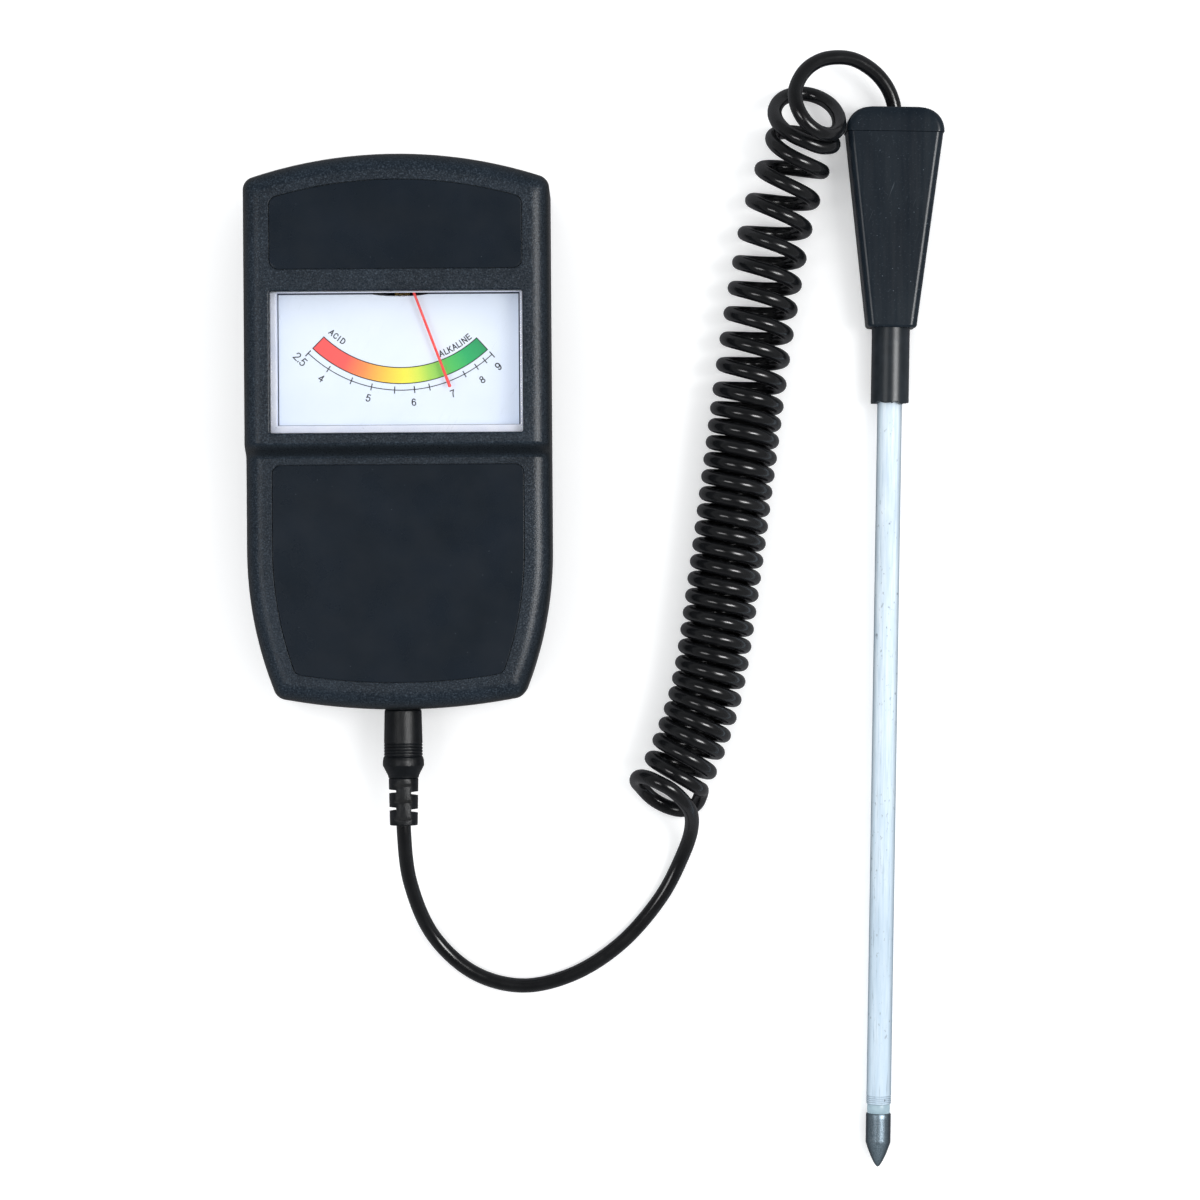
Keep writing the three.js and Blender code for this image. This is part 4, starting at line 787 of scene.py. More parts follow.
def front_case():
    skin = Skin()
    outside = [skin.ring(case_ring(SEAM_CHAMFER, SPLIT_Z)), skin.ring(case_ring(0, SPLIT_Z + SEAM_CHAMFER))]
    outside += [skin.ring(case_ring(d, lambda y, drop=drop: face_height(y) - drop))
                for d, drop in quarter(FRONT_FILLET, 10)]
    skin.join(*outside)

    holes = []
    for end_y, upper, top in LABELS.values():
        rings = [skin.ring(at_height(label_outline(grow, end_y, upper), top - drop))
                 for grow, drop in POCKET_STEPS]
        skin.join(*rings)
        skin.flat(rings[-1])
        holes.append(rings[0])

    window = [skin.ring(window_ring(grow, UPPER_TOP - drop, WINDOW_CORNER + grow))
              for grow, drop in quarter(WINDOW_LIP, 6, 90, 0)]
    ceiling = skin.ring(window_ring(0, UPPER_TOP - WALL))
    skin.join(*window, ceiling)
    holes.append(window[0])
    skin.flat(outside[-1], holes, step_bars(skin, outside[-1], STEP_FOOT_Y - 0.01, STEP_TOP_Y + 0.01))

    inner_top = skin.ring(case_ring(WALL, lambda y: face_height(y - WALL) - WALL))
    inner_low = skin.ring(case_ring(WALL, SPLIT_Z))
    bars = step_bars(skin, inner_top, STEP_FOOT_Y + WALL - 1, STEP_TOP_Y + WALL + 0.1)
    skin.flat(inner_top, [ceiling], bars)
    skin.join(inner_top, inner_low, outside[0])
    return carve(skin.solid("case_front_shell"), [socket_hole()])


def rear_case():
    skin = Skin()
    top = SPLIT_Z - SEAM_GAP
    outside = [skin.ring(case_ring(d, z)) for d, z in quarter(BACK_FILLET, 9, 90, 0)]
    outside += [skin.ring(case_ring(0, top - SEAM_CHAMFER)), skin.ring(case_ring(SEAM_CHAMFER, top))]
    skin.join(*outside)
    skin.flat(outside[0])
    rim, floor = skin.ring(case_ring(WALL, top)), skin.ring(case_ring(WALL, WALL))
    skin.join(outside[-1], rim, floor)
    skin.flat(floor)
    obj = skin.solid("case_rear_shell")
    boss = [(0, 1.9), (4.4, 1.9), (4.4, top - 0.3), (0, top - 0.3)]
    hole = [(0, -1), (4.5, -1), (3.3, 0.3), (3.3, 4), (1.8, 4), (1.8, 15), (0, 15)]
    bosses, holes = [[lathe("tool", profile, 40, at, upright=True) for at in SCREW_POSTS]
                     for profile in (boss, hole)]
    carve(obj, bosses, "UNION")
    return carve(obj, [*holes, socket_hole()])


def case_screw(index, x, y):
    """Pan head with a cross recess, facing down in its counterbore, and a plain shank."""
    profile = [(0, 1.25), (2.9, 1.45), (2.9, 3.95), (1.45, 3.95), (1.45, 19), (0.4, 20), (0, 20)]
    obj = lathe(f"case_screw_steel_{index}", rounded(profile, 0.45, 4), 48, (x, y), upright=True)
    carve(obj, [block("tool", x - a, x + a, y - b, y + b, 0, 2.5) for a, b in ((1.7, 0.36), (0.36, 1.7))])
    return place(obj, STEEL, f"case_screw_{index}")


place(front_case(), CASE, "front_case")
place(rear_case(), CASE, "rear_case")
for number, (post_x, post_y) in enumerate(SCREW_POSTS, 1):
    case_screw(number, post_x, post_y)
for node, (end_y, upper, _) in LABELS.items():
    low, high = box_mm(node)
    place(plate(node + "_panel", label_outline(0, end_y, upper), low.z, high.z, LABEL_EDGE), LABEL, node)

# ---------------- window, dial and pointer


def window_lens():
    """Clear cover: a plate with a skirt below it and a flange that sits behind the case's face."""
    play, flange, skirt = 0.12, 1.5, -1.2
    top, flange_top, bottom = lens_high.z, UPPER_TOP - WALL - 0.05, lens_low.z
    rings = [window_ring(-play - d, top - drop, 0.9, 5) for d, drop in quarter(0.35, 5, 90, 0)]
    steps = [(-play, flange_top), (flange, flange_top), (flange, bottom), (skirt, bottom), (skirt, top - 1.8)]
    return loft("window_clear", rings + [window_ring(grow, z, count=5) for grow, z in steps])


def dial_surround():
    """White moulding round the dial; its top bar bridges over the pointer."""
    x0, x1, y0, y1 = surround_low.x, surround_high.x, surround_low.y, surround_high.y
    left, right, in_y = DIAL_OPENING
    sides = [(x0, y0), (x1, y0), (x1, y1), (right, y1), (right, in_y), (left, in_y), (left, y1), (x0, y1)]
    obj = plate("dial_surround_moulding", sides, surround_low.z, surround_high.z, 0.3)
    bar = rectangle(left - 1, right + 1, WINDOW[3] - 0.1, y1 - 0.3, 0.4, 3)
    return carve(obj, [plate("tool", bar, 31.0, 31.9, 0.2)], "UNION")


def dial_plate():
    """The dial's face, with a notch under the pivot and room above it for the movement."""
    x0, x1, y0, y1 = dial_low.x, dial_high.x, dial_low.y, dial_high.y
    left, right, shoulder = PIVOT.x - 17, PIVOT.x + 17, PIVOT.y - 4
    spread, down = math.asin(NOTCH_HALF_WIDTH / NOTCH_RADIUS), -math.pi / 2
    notch = arc(PIVOT.x, NOTCH_BOTTOM_Y + NOTCH_RADIUS, NOTCH_RADIUS, down + spread, down - spread, 24)
    loop = [(x0, y0), (x1, y0), (x1, y1), (right, y1), (right, shoulder), *notch, (left, shoulder),
            (left, y1), (x0, y1)]
    return plate("dial_face", loop, dial_low.z, dial_high.z, 0.08, 2)


def on_dial(radius, degrees):
    """A point at a radius and an angle from straight down, towards +X."""
    a = math.radians(degrees)
    return ARTWORK[0] + radius * math.sin(a), ARTWORK[1] - radius * math.cos(a)


def ribbon(skin, near, far, top):
    """A thin layer of ink between two lines of points."""
    edges = ((near, INK_LOW), (far, INK_LOW), (far, top), (near, top))
    rows = [skin.ring(at_height(line, z)) for line, z in edges]
    for a, b in pairs(rows):
        skin.faces += [(a[i], a[i + 1], b[i + 1], b[i]) for i in range(len(a) - 1)]
    for end in (0, -1):
        skin.cap([row[end] for row in rows])


def arc_ribbon(skin, inner, outer, top):
    angles = np.linspace(SCALE_START, SCALE_END, 90)
    ribbon(skin, [on_dial(inner, a) for a in angles], [on_dial(outer, a) for a in angles], top)


def tick(skin, degrees, inner, outer, width):
    spread = math.degrees(width / (inner + outer))
    sides = [[on_dial(r, degrees + turn) for r in (inner, outer)] for turn in (-spread, spread)]
    ribbon(skin, *sides, TICK_TOP)


def print_on_dial(skin, name, ink):
    place(skin.solid(name), ink, "dial_plate", hides=False, weighted=False)


LINE_TOP, TICK_TOP = INK_HIGH + 0.02, INK_HIGH + 0.022
OUTLINE = 0.12

band = Skin()
arc_ribbon(band, BAND_INNER, BAND_OUTER, INK_HIGH)
print_on_dial(band, "dial_colour_band", BAND)

lines = Skin()
for radius, half in ((BAND_INNER, OUTLINE), (BAND_OUTER, OUTLINE), (SCALE_LINE, 0.11)):
    arc_ribbon(lines, radius - half, radius + half, LINE_TOP)
for degrees in (SCALE_START, SCALE_END):
    tick(lines, degrees, BAND_INNER - OUTLINE, BAND_OUTER + OUTLINE, 2 * OUTLINE)
    tick(lines, degrees, SCALE_LINE - 1.0, SCALE_LINE + 1.1, 0.28)
for degrees in TICKS:
    tick(lines, degrees, SCALE_LINE - 0.95, SCALE_LINE + 0.95, 0.26)
print_on_dial(lines, "dial_scale_lines", INK)

# Each character's strokes, parted by bars, as x,y in hundredths of its height.
STROKES = {
    "2": "4,74 10,92 30,100 50,93 56,73 46,52 20,26 3,3 | 0,0 58,0",
    "4": "44,0 44,100 | 44,100 0,30 | 0,30 60,30",
    "5": "54,100 13,100 | 13,100 5,52 | 5,52 20,62 42,60 56,42 55,18 40,2 18,0 2,16",
    "6": "53,82 42,97 22,97 7,75 3,40 10,10 30,0 50,8 57,30 48,53 28,60 10,50 4,34",
    "7": "2,100 58,100 | 58,100 38,66 25,32 20,0",
    "8": "30,54 10,64 8,86 30,100 52,86 50,64 30,54 | 30,54 6,42 3,16 30,0 57,16 54,42 30,54",
    ".": "0,0 0,10",
    "A": "0,0 36,100 | 36,100 72,0 | 13,34 59,34",
    "C": "66,78 56,94 38,100 14,88 2,50 14,12 38,0 57,6 67,24",
    "D": "3,0 3,100 | 3,100 30,100 56,88 67,50 56,12 30,0 3,0",
    "E": "3,0 3,100 | 3,100 58,100 | 3,53 53,53 | 3,0 60,0",
    "I": "0,0 0,100",
    "K": "3,0 3,100 | 60,100 3,40 | 24,60 64,0",
    "L": "3,100 3,0 | 3,0 52,0",
    "N": "3,0 3,100 | 3,100 65,0 | 65,0 65,100",
}
GLYPHS = {c: [[tuple(int(v) / 100 for v in p.split(",")) for p in stroke.split()]
              for stroke in strokes.split("|")] for c, strokes in STROKES.items()}
GLYPHS["9"] = [[(0.6 - x, 1 - y) for x, y in stroke] for stroke in GLYPHS["6"]]
LETTER_GAP, NEXT_STROKE_UP = 0.26, 0.0001


def lettering(name, ink, line, items):
    """Printed characters: (text, height, radius, degrees), standing with their feet outwards."""
    skin = Skin()
    level = INK_HIGH
    for text, height, radius, degrees in items:
        widths = [max(x for stroke in GLYPHS[c] for x, _ in stroke) for c in text]
        pen = -(sum(widths) + LETTER_GAP * (len(text) - 1)) / 2
        foot = Vector(on_dial(radius, degrees))
        turn = Matrix.Rotation(math.radians(degrees), 2)
        for character, width in zip(text, widths):
            for stroke in GLYPHS[character]:
                points = np.array([((x + pen) * height, (y - 0.5) * height, 0) for x, y in stroke])
                points = (through(points, 5) if len(points) > 2 else points)[:, :2]
                along = np.gradient(points, axis=0)
                along /= np.linalg.norm(along, axis=1)[:, None]
                out = np.stack([-along[:, 1], along[:, 0]], 1) * line / 2
                points[0] -= along[0] * line / 2
                points[-1] += along[-1] * line / 2
                sides = [[tuple(turn @ Vector(p) + foot) for p in points + way] for way in (out, -out)]
                level += NEXT_STROKE_UP
                ribbon(skin, *sides, level)
            pen += width + LETTER_GAP
    print_on_dial(skin, name, ink)


lettering("dial_numerals", TEXT_INK, 0.27, [
    ("2.5", 2.05, 39.2, -44.7), ("4", 1.75, 39.7, -33.4), ("5", 1.75, 39.6, -13.3), ("6", 1.75, 39.9, 4.7),
    ("7", 1.75, 40.0, 20.4), ("8", 1.75, 40.3, 33.0)])
lettering("dial_numeral_nine", INK, 0.31, [("9", 1.9, 40.1, 41.1)])
acid = zip("ACID", (-42.5, -39.6, -37.2, -34.6))
alkaline = zip("ALKALINE", (22.2, 25.0, 27.4, 30.2, 32.8, 34.4, 36.7, 39.6))
words = ((acid, 1.4, 28.0), (alkaline, 1.5, 28.7))
lettering("dial_words", TEXT_INK, 0.27, [(letter, height, radius, degrees)
                                         for word, height, radius in words for letter, degrees in word])

place(window_lens(), CLEAR, "window_lens")
place(dial_surround(), WHITE, "dial_surround")
place(dial_plate(), ENAMEL, "dial_plate")


def painted_dial_shade():
    """Painted shade: dark ink on the dial along the foot of the moulding round it and under its top bar, open
    at the notch.
    """
    def path(left, right, foot, top):
        corners = [(left, top), (left, foot), (right, foot), (right, top)]
        return [(PIVOT.x - 7.6, top), *corners, (PIVOT.x + 7.6, top)]

    left, right, low = DIAL_OPENING
    skin = Skin()
    # Painted shade: a ribbon round the dial's edge, widest under the top bar, left open over the notch.
    ribbon(skin, path(left + 0.26, right - 0.45, low + 0.28, 37.6),
           path(left - 0.02, right + 0.02, low - 0.02, 40.5), INK_HIGH)
    print_on_dial(skin, "dial_gap_shade", GAP_SHADE)


def pointer():
    """Flat needle with a low ridge along it, widening a little before its end."""
    low, high = box_mm("pointer")
    turn = Matrix.Translation(PIVOT) @ Matrix.Rotation(math.radians(POINTER_ANGLE), 4, "Z")
    rings = []
    for y, half in ((-2.1, 0.34), (-12, 0.34), (-28, 0.35), (1.6 - POINTER_LENGTH, 0.4),
                    (0.3 - POINTER_LENGTH, 0.44), (-POINTER_LENGTH, 0.32)):
        right = [(half - 0.06, low.z), (half, low.z + 0.06), (half, low.z + 0.2),
                 (half * 0.45, high.z - 0.03)]
        section = [*right, (0, high.z), *[(-x, z) for x, z in right[::-1]]]
        rings.append([turn @ Vector((x, y, z)) for x, z in section])
    return loft("pointer_needle", rings)


painted_dial_shade()
place(pointer(), RED, "pointer", angle=50)

# ---------------- plug


def plug_body():
    """Moulded grip: five grooves round it, a shoulder, and a neck that the boot covers."""
    profile = [(0, PLUG_FACE_Y), (4.9, PLUG_FACE_Y), (5.12, PLUG_FACE_Y - 0.4), (5.32, -84.8)]
    for y in (-85.3, -86.12, -86.95, -87.78, -88.6):
        profile += [(5.34, y + 0.2), (5.14, y + 0.06), (5.14, y - 0.06), (5.36, y - 0.2)]
    foot = RELIEF_TOP_Y + 0.05
    profile += [(5.5, -89.1), (5.7, -90), (5.7, -91.3), (4.3, -94), (4.15, foot), (0, foot)]
    obj = lathe("plug_moulding", rounded(profile, 0.2), 80, PLUG_LINE)
    return carve(obj, [rod("tool", 2.15, BEYOND_CORD_Y, RELIEF_TOP_Y + 6, PLUG_LINE),
                       rod("tool", 1.85, PLUG_FACE_Y - 4, 0, PLUG_LINE)])


def strain_relief():
    """Boot with slots that take turns at its sides and its front, so that it bends every way."""
    profile = [(0, RELIEF_END_Y), (3.85, RELIEF_END_Y), (4.1, RELIEF_TOP_Y), (0, RELIEF_TOP_Y)]
    obj = lathe("strain_relief_moulding", rounded(profile, 0.3), 64, PLUG_LINE)
    tools = [rod("tool", 2.1, BEYOND_CORD_Y, -90, PLUG_LINE)]
    below, above, core = 5, 23, 2.9
    for y, side in ((y, side) for y in (-98.7, -103.5) for side in (-1, 1)):
        middle, x0, x1, near, far = y - side * 0.28, side * 1.9, side * 9, 0.42, 0.9
        slot = [(x0, middle - near), (x1, middle - far), (x1, middle + far), (x0, middle + near)]
        tools.append(loft("tool", [at_height(slot, z) for z in (below, above)]))
    for y in (-96.6, -101.1, -105.9):
        for z0, z1 in ((PLUG_LINE[1] + core, above), (below, PLUG_LINE[1] - core)):
            tools.append(block("tool", -2.5, 2.5, y - 0.45, y + 0.45, z0, z1))
    carve(obj, tools)
    soft = obj.modifiers.new("soften", "BEVEL")
    soft.width, soft.segments, soft.limit_method, soft.angle_limit = 0.12, 2, "ANGLE", math.radians(40)
    return settle(obj)


place(plug_body(), BLACK, "plug_body")
place(strain_relief(), BLACK, "strain_relief")

collar_y = PLUG_FACE_Y + PIN_LENGTH - PIN_TIP_LENGTH
place(rod("plug_pin_sleeve", PIN_RADIUS, PLUG_FACE_Y - 3.5, collar_y, PLUG_LINE), STEEL, "plug_sleeve")
place(rod("plug_pin_collar", PIN_RADIUS - 0.01, collar_y + 0.04, collar_y + 0.71, PLUG_LINE), BLACK,
      "plug_insulator")
pin_tip = [(r, collar_y + 0.75 + y)
           for r, y in ((0, 0), (PIN_RADIUS, 0), (1.25, 1), (PIN_RADIUS, 2.1), (0.6, 3.85), (0, 3.85))]
place(lathe("plug_pin_tip", rounded(pin_tip, 0.35, 4), 48, PLUG_LINE), STEEL, "plug_tip")

# ---------------- cord

COIL_RADIUS, COIL_TURNS, POINTS_PER_TURN, LINE_STEPS = 8.15, 32, 12, 40
AXIS = [(74.9, -95.9, 10.6), (79.4, -85.4, 10.3), (84, -71, 10.2), (89.4, -38, 10.2), (93.6, -8, 10.2),
        (98.9, 29, 10.2), (104.4, 58.5, 10.2), (107.2, 68.3, 10.6), (109.8, 76.2, 12), (112.3, 82.6, 14.3)]
TAIL = [(0, -96, 14), (0, -104, 14), (0, -110, 13.6), (1.4, -124, 9), (7.6, -139.6, 3.4),
        (18.8, -150, 2.1), (32.1, -153.6, 2.1), (46, -150.6, 2.1), (59.5, -142.2, 2.1),
        (71, -129.2, 2.1), (76.8, -118.2, 3.6), (79.4, -110.4, 8.2), (79.2, -104.6, 14.2),
        (76.8, -101, 18.4), (73.7, -98.1, 20.4), (70.3, -96.2, 20.4), (67.2, -94.9, 18), (65, -94.9, 14),
        (64.4, -96.3, 9.6), (65.8, -98.3, 5.6), (68.8, -101.5, 3), (73, -103.9, 2.2),
        (77.4, -104.8, 3.2), (80.9, -103, 6.4)]
LOOP = [(119.3, 78.4, 17.2), (116.2, 78, 19.4), (112.4, 79.2, 20.6), (108.6, 81, 20), (105.6, 83.6, 17.8),
        (104, 86.8, 14.2), (104.1, 89.9, 10.4), (106, 92.9, 7), (109.4, 94.6, 4.6), (113.2, 94.8, 3.8),
        (116.8, 93.6, 4.6), (119.6, 91.4, 6.8), (121.3, 88.4, 10), (121.6, 85.4, 13.8), (120.8, 82.8, 17.6),
        (118.6, 81.2, 21.2), (115.6, 81.4, 24), (112.6, 83.2, 25.4), (110.4, 86, 25.7), (109.1, 89.4, 25),
        (109, 93, 23.6), (110.4, 96.7, 22), (113, 99.9, 20.2), (116.8, 102.2, 18.2), (121.1, 103.1, 16.2),
        (125.3, 102.9, 14.2), (129.3, 101.3, 12.2), (133, 98.6, 10.1), (135.8, 94.9, 8.4)]
LOOP_BEND_LENGTH = 26.0


def smooth_step(a, b, v):
    t = min(max((v - a) / (b - a), 0), 1)
    return t * t * (3 - 2 * t)


def coil_points():
    """The middle of the wire along the coil: closed turns below, drawn out towards the handle."""
    samples = 400
    axis = through(AXIS, 200)
    lengths = distances(axis)
    total = lengths[-1]

    def on_axis(share):
        return Vector([np.interp(share * total, lengths, axis[:, k]) for k in range(3)])

    turns = [0.0]
    for i in range(samples):
        y = on_axis((i + 0.5) / samples).y
        pitch = 4.75 + smooth_step(-82, -92, y) + 2.3 * smooth_step(5, 16, y) + 1.7 * smooth_step(42, 56, y)
        turns.append(turns[-1] + total / samples / pitch)
    turns = np.array(turns) * COIL_TURNS / turns[-1]
    points = []
    for step in range(COIL_TURNS * POINTS_PER_TURN + 1):
        turn = step / POINTS_PER_TURN
        share = float(np.interp(turn, turns, np.linspace(0, 1, samples + 1)))
        along = (on_axis(min(share + 1e-3, 1)) - on_axis(max(share - 1e-3, 0))).normalized()
        across = along.cross(Vector((0, 0, 1))).normalized()
        around = across * math.cos(2 * math.pi * turn) + across.cross(along) * math.sin(2 * math.pi * turn)
        points.append(tuple(on_axis(share) + around * COIL_RADIUS))
    return points


def blend_evenly(obj, start, end, shares):
    """Moves each point of a piece its given share of the way between two ends, bakes the object's transform
    into the mesh, and puts the points back.
    """
    along = 0.5 - np.sin(np.arcsin(np.clip(1 - 2 * np.array(shares), -1, 1)) / 3)
    start, end = Vector(start) * MM, Vector(end) * MM
    rest = [v.co.copy() for v in obj.data.vertices]
    for vertex, s in zip(obj.data.vertices, along):
        vertex.co = start + (end - start) * float(s)
    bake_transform(obj)
    for vertex, co in zip(obj.data.vertices, rest):
        vertex.co = co


def cord(name, line, node, blended=False):
    return place(sweep(name, line), CORD, node, weighted=False, blended=blended)


entry = [tuple(TO_FRAME @ Vector((0, y, 0))) for y in (0.35, -4)]
coil = coil_points()
whole = through([*TAIL, *coil, *LOOP, *entry], LINE_STEPS)
coil_start, coil_end = len(TAIL) * LINE_STEPS, (len(TAIL) + len(coil) - 1) * LINE_STEPS
ends = ((0, coil_start), (coil_start, coil_end), (coil_end, len(whole) - 1 - LINE_STEPS))
tail_line, coil_line, loop_line = [evenly(whole[first:last + 1], CORD_SPACING) for first, last in ends]

cord("cord_tail_pvc", tail_line, "cord_tail")

coil_shares = np.linspace(0, 1, len(coil_line))
blend_evenly(cord("cord_coil_pvc", coil_line, "coil_cord", True), AXIS[0], AXIS[-1],
             np.repeat(coil_shares, CORD_SIDES))

from_handle = (len(loop_line) - 1 - np.arange(len(loop_line))) * CORD_SPACING
loop_shares = 0.5 + 0.5 * np.cos(math.pi * np.minimum(from_handle / LOOP_BEND_LENGTH, 1))
blend_evenly(cord("cord_loop_pvc", loop_line, "cord_loop", True), LOOP[-4], PROBE_TOP,
             np.repeat(loop_shares, CORD_SIDES))

# ---------------- probe


def place_on_probe(obj, finish, node, angle=34):
    obj.data.transform(TO_FRAME)
    return place(obj, finish, node, angle=angle)


def handle_ring(y, half_width, half_depth, corner=HANDLE_CORNER):
    return [(x, y, z) for x, z in rectangle(-half_width, half_width, -half_depth, half_depth, corner, 8)]


def handle_at(y):
    """Half width and half depth of the tapering handle at a given y."""
    width_share, depth_share = (-CAP_HEIGHT - y) / (HANDLE_LENGTH - CAP_HEIGHT), -y / HANDLE_LENGTH
    return (TOP_HALF_WIDTH + (BOTTOM_HALF_WIDTH - TOP_HALF_WIDTH) * width_share,
            TOP_HALF_DEPTH + (BOTTOM_HALF_DEPTH - TOP_HALF_DEPTH) * depth_share)


def handle_body():
    """Tapering shell, hollow down to the collar's and the tube's sockets."""
    top, bottom = -CAP_HEIGHT - 0.05, -HANDLE_LENGTH
    ends = [(top - drop, d, d) for d, drop in quarter(0.12, 4, 90, 0)]
    ends += [(y, 0, 0) for y in np.linspace(-12, bottom + 6, 8)]
    ends += [(bottom + drop, d, d * 0.6) for d, drop in quarter(0.75, 6)]
    rings = []
    for y, d, corner_d in ends:
        width, depth = handle_at(y)
        rings.append(handle_ring(y, width - d, depth - d, HANDLE_CORNER - corner_d))
    hollow = [handle_ring(y, w - HANDLE_WALL + more, d - HANDLE_WALL, 1)
              for y, (w, d), more in ((top + 1, handle_at(top), 0), (bottom + 14, handle_at(bottom), 1))]
    return carve(loft("handle_shell", rings), [
        loft("tool", hollow), rod("tool", COLLAR_RADIUS + 0.1, bottom - 1, bottom + 8),
        rod("tool", TUBE_RADIUS + 0.2, bottom + 6, bottom + 16)])


def handle_cap():
    rings = [handle_ring(y - CAP_HEIGHT, CAP_HALF_WIDTH - d, TOP_HALF_DEPTH - d, HANDLE_CORNER - d)
             for y, d in ((0, 0.1), (0.03, 0.03), (0.1, 0))]
    for back, drop in quarter(1, 15):
        half_width, half_depth = CAP_HALF_WIDTH - CAP_CORNER * back, TOP_HALF_DEPTH - 1.2 * back**2
        rings.append(handle_ring(-CAP_CORNER * drop, half_width, half_depth))
    mouth = lathe("tool", [(0, -5), (2.3, -5), (2.3, -0.5), (2.75, 0.1), (2.75, 3), (0, 3)], 48)
    hollow = block("tool", -9, 9, -CAP_HEIGHT - 1, -2.4, -3.8, 3.8)
    return carve(loft("handle_end_cap", rings), [mouth, hollow])


def ragged_collar():
    """Sleeve over the top of the tube, cut by hand at its lower end."""
    top, bottom = 7.5 - HANDLE_LENGTH, -HANDLE_LENGTH - COLLAR_LENGTH
    inner, outer = TUBE_RADIUS + 0.12, COLLAR_RADIUS
    profile = [(inner, top), (outer, top), (outer, bottom + 3), (outer, bottom + 0.9), (outer + 0.02, bottom),
               (inner, bottom)]
    obj = lathe("collar_sleeve_moulding", rounded(profile, 0.22, closed=True), 90, closed=True)
    for vertex in obj.data.vertices:
        share = max(0.0, 1 - (vertex.co.y - bottom) / 0.8)
        if share > 0:
            around = Vector((vertex.co.x, vertex.co.z, 0)).normalized()
            ragged = noise.noise(around * 3.1 + Vector((0, 0, 1.7)))
            fine = noise.noise(around * 9 + Vector((0, 0, 4.2)))
            vertex.co.y += share * (0.55 * ragged + 0.3 * fine)
    return obj


def probe_tube():
    """Tube with four shallow rings rolled into its lower end."""
    top, outer = 13 - HANDLE_LENGTH, TUBE_RADIUS + 0.03
    profile = [(TUBE_BORE, TUBE_END_Y), (TUBE_RADIUS - 0.1, TUBE_END_Y)]
    for y in (TUBE_END_Y + END_RING_PITCH * n for n in END_RINGS):
        profile += [(outer, y - 0.18), (TUBE_RADIUS - 0.16, y), (outer, y + 0.18)]
    profile += [(TUBE_RADIUS, y) for y in np.linspace(TUBE_END_Y + 4, top, 24)]
    profile.append((TUBE_BORE, top))
    return lathe("probe_tube_coated", rounded(profile, 0.06, 2, closed=True), 64, closed=True)


def insulator():
    bore, neck = 1.1, 2.5
    low, high, top = TUBE_END_Y - RING_LENGTH + 0.03, TUBE_END_Y - 0.03, TUBE_END_Y + 8
    profile = [(bore, low), (RING_RADIUS, low), (RING_RADIUS + 0.04, TUBE_END_Y - 1.2), (RING_RADIUS, high),
               (neck, high), (neck, top), (bore, top)]
    return lathe("insulator_band", rounded(profile, 0.15, 2, closed=True), 64, closed=True)


def tip_electrode():
    """Turned tip: a short cylinder and a slightly swollen cone with a blunt point, in a second finish."""
    top = TUBE_END_Y - RING_LENGTH
    end, cone_top = top - TIP_LENGTH, top - TIP_CYLINDER
    profile = [(0, end)]
    for t in (0.004, 0.015, 0.035, 0.06, *np.linspace(0.09, 1, 24)):
        radius = TIP_RADIUS * (0.38 * math.sqrt(1 - (1 - t) ** 2) + 0.62 * t)
        profile.append((radius, end + (TIP_LENGTH - TIP_CYLINDER) * t))
    profile += [(TIP_RADIUS, y) for y in np.linspace(cone_top + 0.5, top - 0.3, 8)]
    obj = lathe("tip_electrode_metal", [*profile, (TIP_RADIUS - 0.12, top), (0, top)])
    cone = [face.index for face in obj.data.polygons if face.center.y < cone_top]
    place_on_probe(obj, TIP_SIDE, "tip_electrode", 40)
    obj.data.materials.append(TIP_CONE.material)
    for index in cone:
        obj.data.polygons[index].material_index = 1


place_on_probe(handle_body(), HANDLE, "handle_body")
place_on_probe(handle_cap(), HANDLE, "handle_cap")
place_on_probe(ragged_collar(), COLLAR, "collar_sleeve")
place_on_probe(probe_tube(), TUBE, "probe_tube", 50)
place_on_probe(insulator(), RING, "insulator_ring")
tip_electrode()
bead = [(0, -14), (2, -14), (2, -10.5), (3.3, -10.1), (3.3, -6.4), (2, -6), (2, -0.1), (0, -0.1)]
place_on_probe(lathe("cord_end_bead", rounded(bead, 0.4), 32), CORD, "cord_end")

# ---------------- movement and wiring

for side, colour in ((1, "red"), (-1, "green")):
    node = "meter_lead_" + colour
    line = [(side * 4.2, -53.3, 14), (side * 5, -44, 8), (side * 9, -20, 5), (side * 13, 10, 4.5),
            (side * 13.5 + PIVOT.x, 24, 6), (side * 11 + PIVOT.x, 32.5, 9.4)]
    wire = sweep(node + "_wire", evenly(through(line, 20), 1.2), 0.65, 12)
    place(wire, WIRES[colour], node, weighted=False)

# The parts inside keep their CAD shapes, in finishes of the same kind.
INNER = {"brass": BRASS, "steel": STEEL, "copper": COPPER, "former_aluminium": ALUMINIUM, "magnet": MAGNET,
         "black_plastic": BLACK}
for node in sorted(as_built):
    materials = frame["nodes"][node].data.materials
    materials.clear()
    materials.append(INNER[SLOT_OF[node]].material)

# ---------------- floor, light and camera

CAMERA_AT = Vector((0.0546, -0.046, 1.0))
LIGHT_HEIGHT, LIGHT_SIZE = 1.29, (0.34, 0.6)


def put(name, data, at, turn=(0, 0, 0)):
    obj = bpy.data.objects.new(name, data)
    obj.location, obj.rotation_euler = at, turn
    bpy.context.scene.collection.objects.link(obj)
    return obj


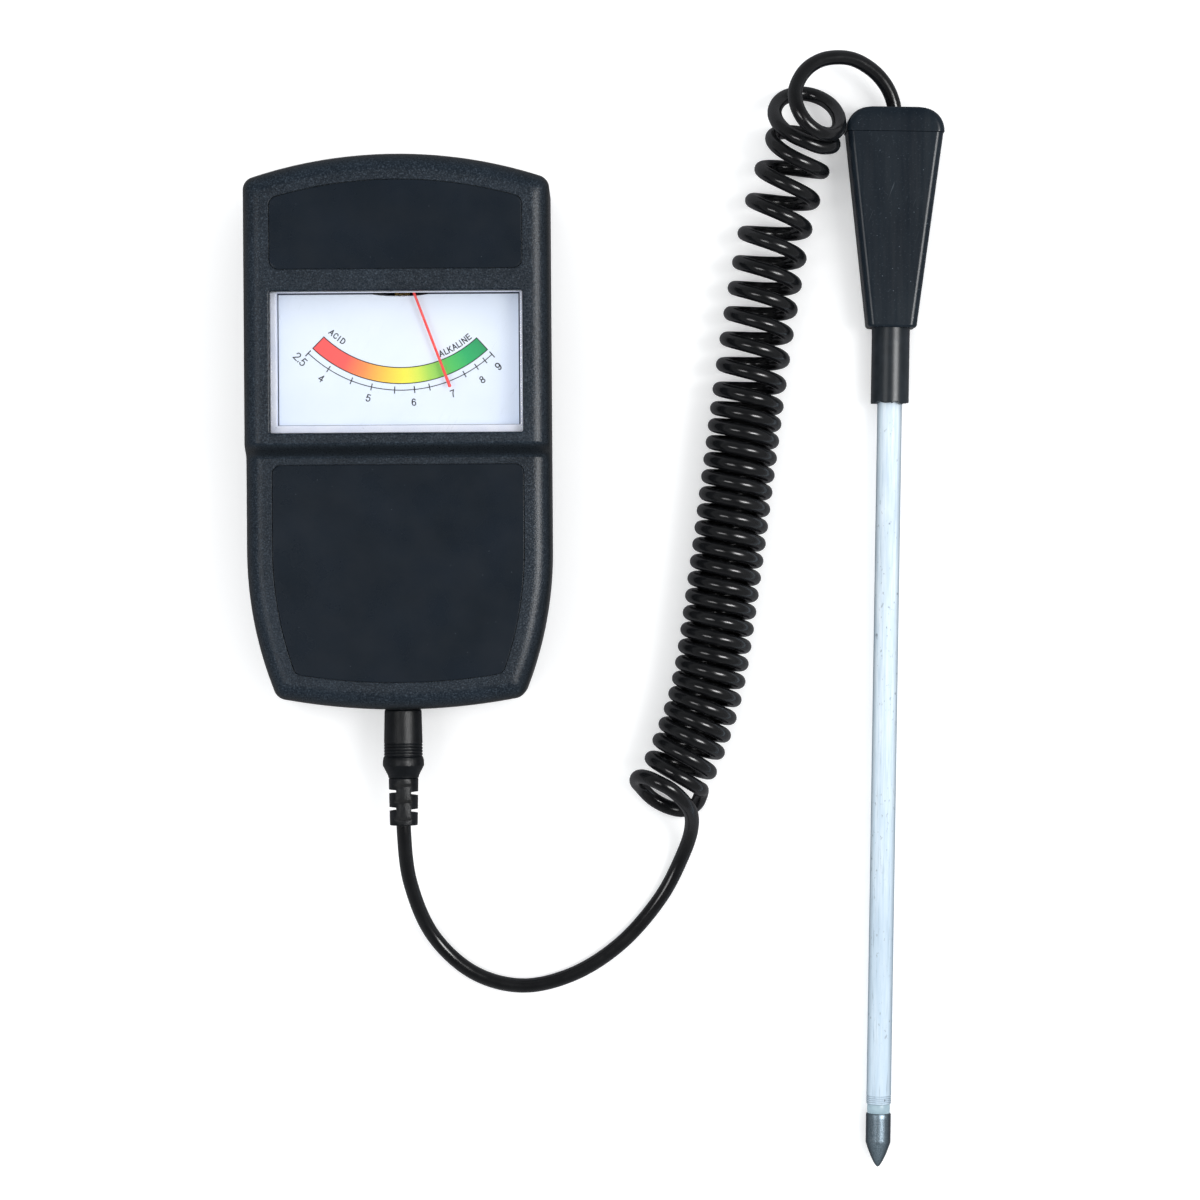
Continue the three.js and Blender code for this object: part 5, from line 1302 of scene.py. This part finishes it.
def soft_light(name, x, y, watts, spread=True):
    """An area light aimed at the object. Without spread it shows only in reflections and casts no shadow."""
    light = bpy.data.lights.new(name, "AREA")
    light.shape, light.energy = "RECTANGLE", watts
    light.size, light.size_y = LIGHT_SIZE
    at = Vector((x, y, LIGHT_HEIGHT))
    aim = Vector((CAMERA_AT.x, CAMERA_AT.y, 0)) - at
    put(name, light, at, aim.to_track_quat("-Z", "Y").to_euler()).visible_diffuse = spread


paper = Finish("floor_paper")
fibres = paper.mix(paper.between(paper.noise(60, 3), 0.3, 0.7), (0.94, 0.94, 0.94, 1), (0.96, 0.96, 0.96, 1))
shade = paper.mix(paper.read("LightPath", "Is Glossy Ray"), fibres, (0.2, 0.2, 0.21, 1))
glow = paper.math("MULTIPLY", paper.read("LightPath", "Is Camera Ray"), 0.22)
paper.skin(shade, 0.9, Specular_IOR_Level=0.1, Emission_Color=(1, 1, 1, 1), Emission_Strength=glow)
floor_mesh = bpy.data.meshes.new("floor")
floor_mesh.from_pydata([(-3, -3, 0), (3, -3, 0), (3, 3, 0), (-3, 3, 0)], [], [(0, 1, 2, 3)])
floor_mesh.materials.append(paper.material)
put("floor", floor_mesh, (0, 0, -0.0001))

soft_light("key_light", 0.86, 0.02, 6.0)
soft_light("key_gleam", 0.86, 0.02, 12.0, spread=False)
soft_light("side_light", -0.65, -0.05, 2.5)

world = bpy.data.worlds.new("studio")
bpy.context.scene.world = world
world.use_nodes = True
world.cycles.sampling_method = "NONE"
sky = Nodes(world.node_tree)
reflected = sky.between(sky.part(sky.read("TexCoord", "Generated"), "Z"), 0.3, 0.9, 0.16, 0.03)
strength = sky.node("Mix", {"Factor": sky.read("LightPath", "Is Glossy Ray"), "A": 1.0, "B": reflected})
background = sky.tree.nodes["Background"].inputs
sky.feed(background["Color"], (0.97, 0.985, 1.0, 1.0))
sky.feed(background["Strength"], strength.outputs["Result"])

camera_data = bpy.data.cameras.new("camera")
camera_data.lens, camera_data.sensor_width = 107.1, 36
camera_data.clip_start, camera_data.clip_end = 0.01, 20
bpy.context.scene.camera = put("camera", camera_data, CAMERA_AT, (0, 0, math.radians(-0.4)))
bpy.context.scene.view_settings.view_transform = "Standard"
